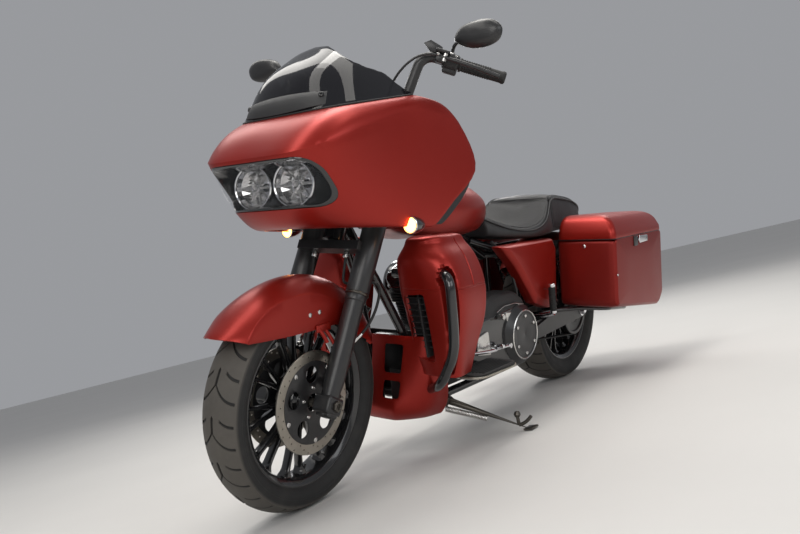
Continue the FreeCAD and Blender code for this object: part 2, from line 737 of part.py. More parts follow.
def engine():
    crank = (size["crank_x"], 0, size["crank_height"])
    half = size["crankcase_half"]
    case = rod(size["crankcase_radius"], half * 2, (crank[0], -half, crank[2]))
    sump = box((-60, 260), (-half + 10, half - 10), (208, 330))
    gear = box((-338, -20), (-90, 90), (226, 440))
    keep("crankcase", fuse(case, sump, gear))

    barrels = []
    for lean in SIDES:
        angle = math.radians(size["cylinder_angle"]) * lean
        along = Vector(math.sin(angle), 0, math.cos(angle))
        centre = Vector(crank[0], 0, crank[2])
        foot = centre + along * size["crankcase_radius"]
        pieces = [rod(size["barrel_radius"], 212, tuple(foot - along * 22), along)]
        for index in range(FINS):
            fin_at = foot + along * (FIRST_FIN + size["fin_pitch"] * index)
            pieces.append(rod(size["fin_radius"], size["fin_thick"], tuple(fin_at), along))
        for thing in (box((-70, 70), (-HEAD_HALF, HEAD_HALF), (0, 52)), box((-54, 54), (-86, 86), (50, 108))):
            thing.Placement = Placement(foot + along * HEAD_AT, Rotation(UP, along)) * thing.Placement
            pieces.append(thing)
        case_room = rod(size["crankcase_radius"], half * 2 + 40, (crank[0], -half - 20, crank[2]))
        barrels.append(cut(fuse(*pieces), case_room))
    keep("cylinders", group(*barrels))

    face, back = size["primary_face"], size["primary_back"]
    inner = half + size["fit_gap"]
    clutch = (size["clutch_x"], back, size["clutch_height"])
    case = fuse(rod(104, face - inner, (crank[0], inner, crank[2])), rod(122, face - back, clutch),
                box((size["clutch_x"], crank[0]), (back, face), (232, 434)),
                box((-100, crank[0]), (inner, back), (240, 430)))
    derby = rod(size["derby_radius"], size["derby_thick"], (clutch[0], face, clutch[2]))
    keep("primary_cover", fuse(case, derby))

    side_face = -HEAD_HALF - size["fit_gap"]
    shell = rod(84, 60, (CLEANER_X, side_face - 98, 572))
    cleaner = fuse(shell, rod(58, 40, (CLEANER_X, side_face - 40, 580)))
    keep("air_cleaner", cleaner)

    ports = []
    for lean in SIDES:
        angle = math.radians(size["cylinder_angle"]) * lean
        along = Vector(math.sin(angle), 0, math.cos(angle))
        out = Vector(along.z * lean, 0, -along.x * lean)
        rise = size["crankcase_radius"] + HEAD_AT + 26
        port = Vector(crank[0], -45, crank[2]) + along * rise + out * 70
        ports.append((port, port + out * 44))
    front, rear = ports
    front_run = ((372, -124, 500), (378, -150, 390), (322, -150, 252), (-120, -158, 250), (-250, -206, 240))
    rear_run = ((-150, -150, 500), (-150, -160, 350), (-180, -168, 250))
    header, rear_header = (tube([*start, *(spot(*point) for point in run)], PIPE_RADIUS, 60)
                           for start, run in ((front, front_run), (rear, rear_run)))
    muffler = Part.makeCylinder(MUFFLER_RADIUS, MUFFLER_LENGTH, spot(-240, -212, 238), Vector(-1, 0, 0.02))
    keep("exhaust", feature(header.fuse([rear_header, muffler])))


ARM_INNER = 136
ARM_OUTER = 160
SHOCK_SIDE = 150
SHOCK_TOP = (-600, 646.5)
FRONT_PULLEY_RADIUS = 46


def drive():
    arm, height = rear_axle[0], rear_axle[2]
    pieces = []
    (pivot_x, pivot_low), (_, pivot_high), hump = side_view(((-345, 276), (-345, 322), (-560, 366)))
    profile = ((pivot_x, pivot_high), (pivot_x, pivot_low), (arm - 34, height - 28), (arm - 44, height),
               (arm - 34, height + 28), hump)
    for low, high in ((ARM_INNER, ARM_OUTER), (-ARM_OUTER, -ARM_INNER)):
        pieces.append(side_prism(profile, low, high))
    cross = Part.makeBox(58, 2 * SHOCK_SIDE, 56, spot(-446, -SHOCK_SIDE, 292))
    axle = Part.makeCylinder(size["axle_radius"], 340, Vector(arm, -170, height), LEFT)
    swingarm = pieces[0].fuse([pieces[1], cross, axle]).cut(cradles(size["fit_gap"]))
    keep("swingarm", feature(swingarm))

    # each shock stands on its arm and reaches the seat rail above it
    shocks = []
    eye = size["frame_tube"] - 1 + size["rail_end_half"] + size["fit_gap"]
    for side in SIDES:
        foot = Vector(arm + 70, SHOCK_SIDE * side, height + 41)
        top = spot(SHOCK_TOP[0], SHOCK_SIDE * side, SHOCK_TOP[1])
        line = (top - foot).normalize()
        spring = Part.makeCylinder(23, foot.distanceToPoint(top) - 70, foot + line * 26, line)
        shaft = Part.makeCylinder(9, foot.distanceToPoint(top), foot, line)
        low_eye, high_eye = foot - LEFT * 13, Vector(top.x, eye if side > 0 else -164, top.z)
        eyes = [Part.makeCylinder(12, 26, low_eye, LEFT), Part.makeCylinder(12, 164 - eye, high_eye, LEFT)]
        shocks.append(spring.fuse([shaft, *eyes]).cut(swingarm))
    keep("rear_shocks", feature(Part.makeCompound(shocks)))

    front = Vector(size["clutch_x"], 0, size["clutch_height"])
    loop = belt(front, FRONT_PULLEY_RADIUS, Vector(*rear_axle), size["pulley_radius"] + 1.5)
    sprocket = Part.makeCylinder(FRONT_PULLEY_RADIUS, size["belt_width"], front + LEFT * belt_face, LEFT)
    reach = 8 - size["fit_gap"]
    shaft = Part.makeCylinder(20, size["belt_width"] + reach, front + LEFT * (belt_face - reach), LEFT)
    keep("drive_belt", feature(loop.fuse([sprocket, shaft])))


def belt(front, front_radius, rear, rear_radius):
    outer = stadium(front, front_radius + size["belt_thick"], rear, rear_radius + size["belt_thick"])
    return outer.cut(stadium(front, front_radius, rear, rear_radius))


def stadium(front, front_radius, rear, rear_radius):
    # two circles and their outer tangents, seen from the side
    apart = front - rear
    angle = math.acos((rear_radius - front_radius) / apart.Length)
    along = apart.normalize()
    up = Vector(-along.z, 0, along.x)
    points = {}
    for name, centre, radius in (("front", front, front_radius), ("rear", rear, rear_radius)):
        for side in SIDES:
            across = up * (radius * math.sin(angle) * side)
            points[name, side] = centre + along * (radius * math.cos(angle)) + across
    edges = [
        Part.Arc(points["front", 1], front + along * front_radius, points["front", -1]).toShape(),
        Part.makeLine(points["front", -1], points["rear", -1]),
        Part.Arc(points["rear", -1], rear - along * rear_radius, points["rear", 1]).toShape(),
        Part.makeLine(points["rear", 1], points["front", 1]),
    ]
    wire = Part.Wire(edges)
    wire.translate(LEFT * belt_face)
    return Part.Face(wire).extrude(LEFT * size["belt_width"])


# Tank: x, half width, bottom, height of the widest line, top
TANK_STATIONS = (
    (398, 84, 790, 836, 890),
    (350, 128, 772, 840, 926),
    (220, 158, 748, 838, 948),
    (60, 158, 745, 836, 944),
    (-70, 126, 752, 834, 914),
    (-146, 84, 764, 820, 862),
)
# Seat: x, half width at the foot, half width at the top, foot, edge, middle
SEAT_STATIONS = (
    (-152, 84, 66, 716, 800, 812),
    (-235, 146, 132, 700, 752, 742),
    (-370, 180, 164, 692, 736, 716),
    (-480, 180, 164, 694, 778, 758),
    (-556, 166, 146, 700, 846, 856),
    (-640, 156, 138, 704, 858, 870),
    (-820, 138, 122, 706, 836, 848),
    (-960, 108, 92, 706, 796, 804),
    (-1000, 76, 62, 708, 760, 766),
)
DOOR_FLOOR = 952
DOOR_HINGE_X = 190


def body_loft(stations, profile_of):
    # sections across the bike, each mirrored from its left half
    sections = []
    for x, *numbers in stations:
        profile = profile_of(*numbers)
        points = profile + tuple((-y, z) for y, z in reversed(profile[1:-1]))
        sections.append([spot(x, y, z) for y, z in points])
    return loft(sections)


def tank_profile(half, bottom, wide, top):
    shoulder = (half * 0.55, top - 10)
    return ((0, bottom), (half * 0.72, bottom), (half, wide - 26), (half, wide + 24), shoulder, (0, top))


def seat_profile(foot, half, low, edge, middle):
    return ((0, low), (foot - 14, low), (foot, low + 22), (half, edge - 10), (half * 0.7, edge), (0, middle))


def tank_and_seat():
    console = Part.makeBox(200, 92, 60, Vector(36, -46, DOOR_FLOOR - 60 - size["fit_gap"]))
    reach = BACKBONE_RADIUS + size["fit_gap"]
    below = side_view(((-240, 560), (600, 560)))
    tunnel = side_prism((*((point.x, point.z) for point in BACKBONE), *below), -reach, reach)
    tank = body_loft(TANK_STATIONS, tank_profile).fuse(console)
    keep("fuel_tank", feature(tank.cut(tunnel).cut(backbone(size["fit_gap"]))))
    keep("fuel_door", box((60, DOOR_HINGE_X), (-36, 36), (DOOR_FLOOR, DOOR_FLOOR + 5)), "fuel door")

    bumpers = [Part.makeCylinder(11, 66, spot(x, size["rail_end_half"] * side, 644))
               for x in (-440, -800) for side in SIDES]
    seat = body_loft(SEAT_STATIONS, seat_profile).fuse(bumpers)
    keep("seat", feature(seat.cut(seat_rails(size["fit_gap"]))))


# the number plate's two holes
PLATE_BOLT = 7
PLATE_HOLES = 146
PLATE_HEIGHT = 366


def spot_behind(x, y, z):
    # a drawn height carried up by as much as the rear axle
    return Vector(x, y, z + rear_axle[2] - DRAWN_REAR[1])


# side view of a side cover, and the point that its outer face draws in to
COVER_PROFILE = ((-84, 684), (-486, 684), (-512, 640), (-498, 402), (-424, 398), (-336, 446), (-216, 608))
COVER_MIDDLE = (-300, 560)
COVER_DRAW = 0.86

FENDER_FIRST = 40
REAR_FENDER_LAST = 190
REAR_SKIRT = 127
REAR_SHOULDER = 22


def rear_body():
    wall, half = size["fender_wall"], size["rear_fender_half"]
    crown = size["rear_tyre_radius"] + size["rear_fender_gap"] + wall
    section = fender_section(rear_axle, FENDER_FIRST, crown, half, wall, crown - REAR_SKIRT, REAR_SHOULDER)
    shell = Part.Face(outline(section)).revolve(Vector(*rear_axle), -LEFT, REAR_FENDER_LAST - FENDER_FIRST)
    room = Part.makeBox(720, 400, 380, Vector(rear_axle[0] - 256, -200, rear_axle[2] - 180))
    lugs = []
    for side in SIDES:
        for x in (-700, -900):
            start = spot(x, half - 1 if side > 0 else -half - 17, 650)
            lugs.append(Part.makeCylinder(9, 18, start, LEFT))
    keep("rear_fender", feature(shell.cut(room).fuse(lugs).cut(seat_rails(size["fit_gap"]))))

    # lamp, bar with the signals, blank number plate and its stalk, all on the fender's rear
    rear = rear_axle[0] - crown
    lamp = Part.makeCylinder(46, 100, spot_behind(rear - 34, 0, 470), FORWARDS)
    bar = Part.makeBox(60, 260, 16, spot_behind(rear - 22, -130, 400))
    signals = [Part.makeCylinder(30, 40, spot_behind(rear - 36, 140 * side, 408), FORWARDS) for side in SIDES]
    plate = Part.makeBox(4, 180, 105, spot_behind(rear - 30, -90, 280))
    stalk = Part.makeBox(14, 30, 130, spot_behind(rear - 26, -15, 300))
    holes = []
    for side in SIDES:
        start = spot_behind(rear - 40, PLATE_HOLES / 2 * side, PLATE_HEIGHT)
        holes.append(Part.makeCylinder(PLATE_BOLT / 2, 20, start, FORWARDS))
    fender = Part.makeCylinder(crown + size["fit_gap"], 400, Vector(rear_axle[0], -200, rear_axle[2]), LEFT)
    whole = lamp.fuse([bar, plate, stalk, *signals])
    keep("tail_lamps", feature(whole.cut([fender, *holes])))

    covers = []
    middle_x, middle_z = COVER_MIDDLE
    for side in SIDES:
        inner, middle = ([spot(x, y * side, z) for x, z in COVER_PROFILE] for y in (150, 186))
        drawn = [(middle_x + (x - middle_x) * COVER_DRAW, middle_z + (z - middle_z) * COVER_DRAW)
                 for x, z in COVER_PROFILE]
        outer = [spot(x, 206 * side, z) for x, z in drawn]
        peg_at = spot(-397.5, REAR_UPRIGHT if side > 0 else -152, 560)
        peg = Part.makeCylinder(7, 152 - REAR_UPRIGHT, peg_at, LEFT)
        covers.append(loft([inner, middle, outer]).fuse(peg))
    keep("side_covers", feature(Part.makeCompound(covers).cut(cradles(size["fit_gap"]))))


BAG_FLOOR = 385
BAG_FALL = 62
GUARD_RAIL_RADIUS = 9


def bag_outline(y, grow, wall=0):
    # side view of a bag at this distance from the middle, drawn in by the wall
    front, rear = size["bag_front"] - wall, size["bag_rear"] + wall
    top = size["bag_top"] + (20 if wall else 0)
    low = BAG_FLOOR + grow + wall
    corners = ((front, top), (rear + grow * 0.2, top), (rear - 12 + grow, low - 20),
               (rear + 40 + grow, low - BAG_FALL), (front - 20, low), (front, low + 26))
    return [spot(x, y, z) for x, z in corners]


def bags():
    wall = size["bag_wall"]
    inner, outer = size["bag_inner"], size["bag_outer"]
    for side, name in ((1, "left"), (-1, "right")):
        shell = loft([bag_outline(y * side, grow) for y, grow in ((inner, 6), (outer - 34, 0), (outer, 20))])
        room = loft([bag_outline(y * side, grow, wall)
                     for y, grow in ((inner + wall, 6), (outer - 34, 0), (outer - wall, 20))])
        keep(f"{name}_saddlebag", feature(shell.cut(room)))

        base = size["bag_top"] + size["fit_gap"]
        front, rear, top = size["bag_front"], size["bag_rear"], base + size["lid_height"]
        # height, how far the outline is drawn in at front, rear, inner and outer side
        levels = ((base, 0, 0, 0, 0), (base + 22, 0, 0, 0, 0),
                  (base + 62, 14, 10, 2, 22), (top, 62, 48, 18, 92))
        solids = []
        for inset in (0, wall):
            rings = []
            for z, ahead, behind, inside, outside in levels:
                z = z - (inset if z == top else 0) - (4 if inset and z == base else 0)
                start, end = front - ahead - inset, rear + behind + inset
                near, far = (inner + inside + inset) * side, (outer - outside - inset) * side
                plan = ((start, near), (start, far), (end, far), (end, near))
                rings.append([spot(x, y, z) for x, y in plan])
            solids.append(loft(rings))
        keep(f"{name}_lid", feature(solids[0].cut(solids[1])), f"{name} lid")

    # the carrying rails run just under the bags' sloping floors
    floor_at = BAG_FLOOR - size["fit_gap"] - GUARD_RAIL_RADIUS
    slope = BAG_FALL / (size["bag_front"] - 20 - size["bag_rear"] - 40)
    rails = []
    for side in SIDES:
        under = [(x, y, floor_at + (x - size["bag_front"] + 20) * slope) for x, y in
                 ((-600, 240), (-700, 330), (-900, 330), (-950, 262))]
        points = ((-397, 84, 362), (-490, 171, 376), *under, (-950, 156, 331), (-950, 128, 640))
        rails.append(tube([spot(x, y * side, z) for x, y, z in points], GUARD_RAIL_RADIUS, 50))
    rails = Part.makeCompound(rails).cut(seat_rails(size["fit_gap"])).cut(cradles(size["fit_gap"]))
    keep("bag_guards", feature(rails))


# Fairing rings: height at the nose line, rise per mm to the rear as far as the shoulder and behind it,
# front x, corner x and half width, flank x and half width, side x and half width, half width at the rear
RINGS = (
    (822, -0.07, -0.07, 800, 786, 104, 740, 168, 600, 238, 340),
    (868, 0.03, 0.03, 868, 838, 168, 795, 206, 600, 262, 345),
    (1024, 0.31, -0.16, 925, 915, 180, 842, 238, 540, 280, 330),
    (1118, 0.16, 0.16, 806, 780, 168, 740, 206, 560, 240, 272),
)
FAIRING_REAR = 250
NOSE_LINE = 900
SHOULDER_X = 540
# side view of the fairing's rear edge
REAR_EDGE = ((474, 700), (474, 788), (404, 856), (292, 968), (386, 1148), (490, 1184), (490, 1300))
# the windshield's two upper rings: height, nose x, then half of the plan (x, y)
GLASS_RINGS = (
    (1250, 752, ((738, 116), (688, 165), (530, 205), (250, 245))),
    (1352, 622, ((606, 92), (545, 138), (438, 180), (250, 230))),
)
# the windshield's upper edge from the front (y, z)
GLASS_EDGE = ((262, 1184), (240, 1195), (200, 1250), (150, 1288), (100, 1322), (60, 1342), (0, 1350))
SIGNAL_AT = (560, 256, 774)


def fairing_ring(ring, inset=0, lift=0):
    height, rise, fall, front, corner_x, corner_y, flank_x, flank_y, side_x, side_y, rear_y = ring
    half = ((corner_x - inset, corner_y - inset * 0.3), (flank_x - inset * 0.6, flank_y - inset),
            (side_x, side_y - inset), (FAIRING_REAR, rear_y - inset))
    plan = ((front - inset, 0), *half, *((x, -y) for x, y in reversed(half)))
    points = []
    for x, y in plan:
        ahead, back = max(x, SHOULDER_X), max(SHOULDER_X - x, 0)
        points.append(spot(x, y, height + lift + (NOSE_LINE - ahead) * rise + back * fall))
    return points


def fairing():
    wall = size["fairing_wall"]
    outer = loft([fairing_ring(ring) for ring in RINGS])
    lifts = (-2, 0, 0, 3)
    inner = loft([fairing_ring(ring, wall, lift) for ring, lift in zip(RINGS, lifts)])
    shell = outer.cut(inner)
    behind = ((FAIRING_REAR - 50, 700), *REAR_EDGE, (FAIRING_REAR - 50, 1300))
    rear_trim = side_prism(side_view(behind), -400, 400)
    lamp_hole = front_prism(((-196, 886), (196, 886), (200, 1000), (-200, 1000)), 740, 1000)
    keep("fairing", feature(shell.cut(rear_trim).cut(lamp_hole)))

    housing = front_prism(((-182, 880), (182, 880), (190, 1004), (-190, 1004)), LAMP_BACK, LAMP_FRONT)
    lamps = []
    for side in SIDES:
        back = spot(LAMP_FRONT, size["lamp_half"] * side, size["lamp_height"])
        lamps.append(Part.makeCylinder(size["lamp_radius"], 26, back, FORWARDS))
    keep("headlamp", feature(common_inside(housing.fuse(lamps), wall + size["fit_gap"])))

    behind = ((700, 1112), (640, 1118), (610, 1040), (624, 960), (640, DASH_FLOOR), (700, DASH_FLOOR))
    dash = side_prism(side_view(behind), -300, 300)
    keep("dash_panel", feature(common_inside(dash, wall + size["fit_gap"])))

    signals = []
    for side in SIDES:
        x, y, z = SIGNAL_AT
        lamp = Part.makeCylinder(26, 46, spot(x, y * side, z), FORWARDS)
        arm = Part.makeCylinder(9, 50, spot(x + 22, y * side, z), Vector(0, -0.3 * side, 0.95))
        signals.append(lamp.fuse(arm).cut(outer))
    keep("turn_signals", feature(Part.makeCompound(signals)))

    foot = fairing_ring(RINGS[3], 0, size["fit_gap"])
    thin = size["shield_wall"]
    upper, upper_in = [], []
    for height, nose, half in GLASS_RINGS:
        plan = ((nose, 0), *half, *((x, -y) for x, y in reversed(half)))
        upper.append([spot(x, y, height) for x, y in plan])
        upper_in.append([Vector(p.x - thin, p.y * (1 - thin / half[1][1]), p.z) for p in upper[-1]])
    upper_in[-1] = [p + UP for p in upper_in[-1]]
    glass = loft([foot, *upper]).cut(loft([fairing_ring(RINGS[3], thin, 0), *upper_in]))
    edge = [*GLASS_EDGE, *((-y, z) for y, z in reversed(GLASS_EDGE[:-1]))]
    above = front_prism([*edge, (-400, 1184), (-400, 1500), (400, 1500), (400, 1184)], FAIRING_REAR, 900)
    behind = Part.makeBox(300, 800, 400, spot(490, -400, 1100) - FORWARDS * 300)
    keep("windshield", feature(glass.cut(above).cut(behind)))


def common_inside(shape, gap):
    # what of the shape lies inside the fairing with this gap
    room = loft([fairing_ring(ring, gap) for ring in RINGS])
    return shape.common(room)


# Leg shield: height, front inner x and y, front outer x and y, outer x and y, rear x and y
SHIELD_RINGS = (
    (322, 392, 206, 440, 268, 420, 318, 300, 322),
    (470, 418, 196, 452, 262, 436, 326, 276, 330),
    (600, 446, 172, 462, 252, 440, 322, 268, 322),
    (700, 462, 158, 464, 226, 428, 288, 262, 284),
    (762, 440, 166, 440, 206, 400, 236, 268, 232),
)


def shield_ring(ring, side, inset=0, back=0):
    height, x_in, y_in, x_out, y_out, x_side, y_side, x_rear, y_rear = ring
    flank = (x_side - inset * 0.6, y_side - inset)
    plan = ((x_in - inset, y_in + inset * 0.4), (x_out - inset, y_out), flank,
            (x_rear - back, y_rear - inset), (x_rear - back, y_in + 6 + inset * 0.4))
    return [spot(x, y * side, height) for x, y in plan]


GUARD_BEND = 52
GUARD = ((452, 60, 642), (452, 250, 646), (462, 330, 606), (476, 332, 404), (452, 262, 300), (352, 108, 236))


# the shield's window and the chin's openings, from the front
SHIELD_WINDOW = ((206, 390), (248, 384), (234, 586), (182, 580))
CHIN_OPENING = ((26, 236), (96, 236), (104, 412), (26, 412))
# Chin: height, front x and half width, side x and half width, rear x and half width
CHIN_RINGS = (
    (158, 448, 62, 380, 128, 312, 150),
    (200, 474, 84, 410, 158, 308, 176),
    (300, 452, 110, 410, 190, 336, 200),
    (440, 428, 120, 416, 186, 384, 192),
)


def front_shields():
    wall = size["fairing_wall"]
    guards, guard_room = [], []
    for side in SIDES:
        run = [spot(x, y * side, z) for x, y, z in GUARD]
        guards.append(tube(run, size["guard_radius"], GUARD_BEND))
        guard_room.append(tube(run, size["guard_radius"] + size["fit_gap"], GUARD_BEND))
    shields = []
    for side in SIDES:
        outer = loft([shield_ring(ring, side) for ring in SHIELD_RINGS])
        inner_rings = [(SHIELD_RINGS[0][0] - 3, *SHIELD_RINGS[0][1:]), *SHIELD_RINGS[1:-1],
                       (SHIELD_RINGS[-1][0] - wall, *SHIELD_RINGS[-1][1:])]
        inner = loft([shield_ring(ring, side, wall, 20) for ring in inner_rings])
        window = front_prism([(y * side, z) for y, z in SHIELD_WINDOW], 380, 520)
        shields.append(outer.cut(inner).cut(window).cut(Part.makeCompound(guard_room)))
    keep("leg_shields", feature(Part.makeCompound(shields)))
    keep("engine_guard", feature(Part.makeCompound(guards).cut(cradles(size["fit_gap"]))))

    solids = []
    for inset, lift in ((0, 0), (wall, 3)):
        sections = []
        for index, (z, x_front, y_front, x_side, y_side, x_rear, y_rear) in enumerate(CHIN_RINGS):
            level = z + (lift if index in (0, 3) else 0)
            half = ((x_front - inset, y_front - inset * 0.4), (x_side - inset * 0.6, y_side - inset),
                    (x_rear - inset * 2, y_rear - inset))
            plan = half + tuple((x, -y) for x, y in reversed(half))
            sections.append([spot(x, y, level) for x, y in plan])
        solids.append(loft(sections))
    holes = [front_prism([(y * side, z) for y, z in CHIN_OPENING], 300, 560) for side in SIDES]
    chin = solids[0].cut(solids[1]).cut(Part.makeCompound(holes))
    keep("chin_fairing", feature(chin.cut(Part.makeCompound(guard_room))))
    pegs = [Part.makeCylinder(5, 2 * reach, spot(x, -reach, z), LEFT)
            for reach, x, z in ((78, 375, 400), (90, 362, 262))]
    core = Part.makeBox(42, 112, 190, spot(346, -56, 240))
    keep("oil_cooler", feature(core.fuse(pegs).cut(cradles(size["fit_gap"]))))


# Floorboard in plan, and the stations of its two arms
BOARD_PLAN = ((98, 218), (330, 214), (352, 240), (344, 318), (310, 338), (130, 346), (98, 322))
BOARD_HEIGHT = 296
BOARD_THICK = 16
BOARD_ARMS = (126, 204)
PEG_LENGTH = 124
PEG_RADIUS = 15


def controls():
    boards = []
    for side in SIDES:
        plan = outline([spot(x, y * side, BOARD_HEIGHT) for x, y in BOARD_PLAN])
        board = Part.Face(plan).extrude(UP * BOARD_THICK)
        arms = []
        for x in BOARD_ARMS:
            run = ((100, 203), (130, 214), (228, 214), (246, BOARD_HEIGHT + 4))
            arms.append(tube([spot(x, y * side, z) for y, z in run], 8, 14))
        boards.append(board.fuse(arms))
    keep("floorboards", feature(Part.makeCompound(boards).cut(cradles(size["fit_gap"]))))

    # heel and toe shifter on the primary cover, brake pedal on the right board, passenger pegs folded up
    shaft_at = size["primary_face"] + size["fit_gap"]
    shift_run = ((60, shaft_at, 330), (60, 236, 330), (200, 238, 344), (338, 238, 366))
    shift = tube([spot(*point) for point in shift_run], 6, 12)
    toe = Part.makeCylinder(9, 44, spot(338, 224, 366), LEFT)
    brake = tube([spot(*point) for point in ((294, -240, 304), (318, -244, 346), (350, -262, 366))], 7, 20)
    board_room = BOARD_THICK + size["fit_gap"]
    brake = brake.cut(Part.makeBox(80, 60, board_room, spot(260, -270, BOARD_HEIGHT)))
    pad = Part.makeBox(66, 56, 12, spot(318, -290, 362))
    pegs = []
    for side in SIDES:
        up = Vector(0.2, 0.08 * side, 1)
        peg = Part.makeCylinder(PEG_RADIUS, PEG_LENGTH, spot(-396, 226 * side, 386), up)
        low, high = (REAR_UPRIGHT, 236) if side > 0 else (-236, -REAR_UPRIGHT)
        arm = Part.makeBox(28, high - low, 15, spot(-410, low, 375))
        pegs.append(peg.fuse(arm).cut(cradles(size["fit_gap"])))
    keep("foot_controls", feature(Part.makeCompound([shift.fuse(toe), brake.fuse(pad), *pegs])))


# Where the finished pieces go

def lowest_of_wheel(turn, axle, radius, half):
    # the tread is part of a torus, so its lowest point follows from the direction of the axle
    crown = (half ** 2 + size["crown_drop"] ** 2) / (2 * size["crown_drop"])
    centre = turn.multVec(Vector(*axle))
    across = turn.Rotation.multVec(LEFT)
    return centre.z - (radius - crown) * math.sqrt(1 - across.z ** 2) - crown


def standing(lean, steered):
    # raise and tip the leaned bike until both tyres touch the ground
    placed = Placement(Vector(0, 0, 0), Rotation(Vector(1, 0, 0), -lean))
    for _ in range(4):
        ends = ((placed * steered, front_axle, "front"), (placed, rear_axle, "rear"))
        front, rear = (lowest_of_wheel(way, axle, size[f"{end}_tyre_radius"], size[f"{end}_tyre_half"])
                       for way, axle, end in ends)
        pitch = math.degrees(math.atan2(front - rear, float(size["wheelbase"])))
        tip = Placement(Vector(0, 0, -(front + rear) / 2), Rotation(LEFT, pitch))
        placed = tip * placed
    return placed


def side_stand(bike):
    pivot = STAND_PIVOT
    to_bike = bike.inverse()
    foot = Vector(size["stand_foot_x"], size["stand_foot_y"], 0)
    pad = Part.makeCylinder(26, 7, foot)
    pad.Placement = to_bike
    ankle = to_bike.multVec(foot + Vector(0, 0, 12))
    hook_end = to_bike.multVec(foot + Vector(-34, 22, 40))
    boss = Part.makeCylinder(15, 2 * BOSS_HALF, pivot - STAND_AXIS * BOSS_HALF, STAND_AXIS)
    leg = Part.makeCylinder(9.5, pivot.distanceToPoint(ankle), pivot, ankle - pivot)
    hook = Part.makeCylinder(6, ankle.distanceToPoint(hook_end), ankle, hook_end - ankle)
    bore = Part.makeCylinder(size["stand_pin"] + size["running_gap"], 60, pivot - STAND_AXIS * 30, STAND_AXIS)
    top = Part.makeCylinder(60, 40, pivot + STAND_AXIS * BOSS_HALF, STAND_AXIS)
    keep("side_stand", feature(boss.fuse([leg, pad, hook]).cut(bore).cut(top)))


wheels()
front_end()
handlebar()
front_fender()
frame()
engine()
drive()
tank_and_seat()
rear_body()
bags()
fairing()
front_shields()
controls()

steered = Placement(Vector(0, 0, 0), Rotation(steer_dir, float(size["steer"])), steer_foot)
bike = standing(float(size["lean"]), steered)
side_stand(bike)
doc.recompute()

at_front = Placement(Vector(*front_axle), Rotation())
at_rear = Placement(Vector(*rear_axle), Rotation())
WAYS = {
    "bike": bike,
    "fuel door": bike,
    "left lid": bike,
    "right lid": bike,
    "steering": bike * steered,
    "front wheel": bike * steered * at_front,
    "rear wheel": bike * at_rear,
}
for thing, placed in PIECES.values():
    thing.Placement = WAYS[placed] * thing.Placement
doc.recompute()

bad = [thing.Label for thing in doc.Objects if {"Invalid", "Error"} & set(thing.State)]
if bad:
    raise RuntimeError(f"not rebuilt: {bad}")
for name, (thing, placed) in PIECES.items():
    if thing.Shape.isNull() or not thing.Shape.isValid() or not thing.Shape.Solids:
        raise RuntimeError(f"bad shape: {name}")
reach = FreeCAD.BoundBox()
for thing, placed in PIECES.values():
    reach.add(thing.Shape.optimalBoundingBox(True, False))
shift = Placement(Vector(-reach.Center.x, -reach.Center.y, 0), Rotation())
for thing, placed in PIECES.values():
    thing.Placement = shift * thing.Placement
doc.recompute()

for name, (thing, placed) in PIECES.items():
    thing.Shape.exportStep(f"parts/{name}.step")

print("nodes", len(PIECES))
print("reach", reach.XLength, reach.YLength, reach.ZLength, "lowest", reach.ZMin)

# name, which way it is placed, a point on it, its direction
lid_hinge = size["bag_top"] + size["fit_gap"]
crown = size["rear_tyre_radius"] + size["rear_fender_gap"] + size["fender_wall"]
post_middle = POST_START - size["post_length"] / 2
AXES = (
    ("steering", bike, on_steering(900), steer_dir),
    ("front_wheel_spin", bike * steered, Vector(*front_axle), LEFT),
    ("rear_wheel_spin", bike, Vector(*rear_axle), LEFT),
    ("side_stand", bike, STAND_PIVOT, STAND_AXIS),
    ("left_lid", bike, spot(size["bag_rear"], size["bag_outer"] + 3, lid_hinge), -FORWARDS),
    ("right_lid", bike, spot(size["bag_rear"], -size["bag_outer"] - 3, lid_hinge), FORWARDS),
    ("fuel_door", bike, Vector(DOOR_HINGE_X, 0, DOOR_FLOOR + 0.5), LEFT),
    ("plate_holes", bike, spot_behind(rear_axle[0] - crown - 30, 0, PLATE_HEIGHT), -FORWARDS),
    ("left_post", bike, spot(post_middle, size["rail_end_half"], RAIL_END_HEIGHT), -FORWARDS),
    ("right_post", bike, spot(post_middle, -size["rail_end_half"], RAIL_END_HEIGHT), -FORWARDS),
    ("left_bar", bike * steered, BAR_FOOT + (ELBOW - BAR_FOOT) / 2, ELBOW - BAR_FOOT),
    ("left_guard", bike, spot(469.4, 331.1, 500), Vector(-14, -2, 202)),
    ("left_bag", bike, spot(-830, 300, 480), FORWARDS),
    ("fairing_middle", bike, spot(560, 0, 900), FORWARDS),
)
for name, way, point, along in AXES:
    way = shift * way
    print("axis", name, *(round(value, 3) for value in way.multVec(point)),
          *(round(value, 7) for value in way.Rotation.multVec(along).normalize()))
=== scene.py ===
import json
import math
import bpy
from mathutils import Matrix, Vector, noise


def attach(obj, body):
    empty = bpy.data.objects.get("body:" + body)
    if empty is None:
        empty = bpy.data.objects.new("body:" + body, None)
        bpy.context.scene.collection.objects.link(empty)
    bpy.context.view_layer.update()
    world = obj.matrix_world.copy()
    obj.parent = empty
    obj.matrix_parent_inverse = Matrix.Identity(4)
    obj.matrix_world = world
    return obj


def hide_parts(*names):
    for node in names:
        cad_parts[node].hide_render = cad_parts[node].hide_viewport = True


# Touring cruiser motorcycle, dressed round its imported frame.
# Pieces are modelled in millimetres on an upright bike: X forwards, Y left, Z up,
# with the ground point midway between the axles as origin. put() leans them onto the stand.

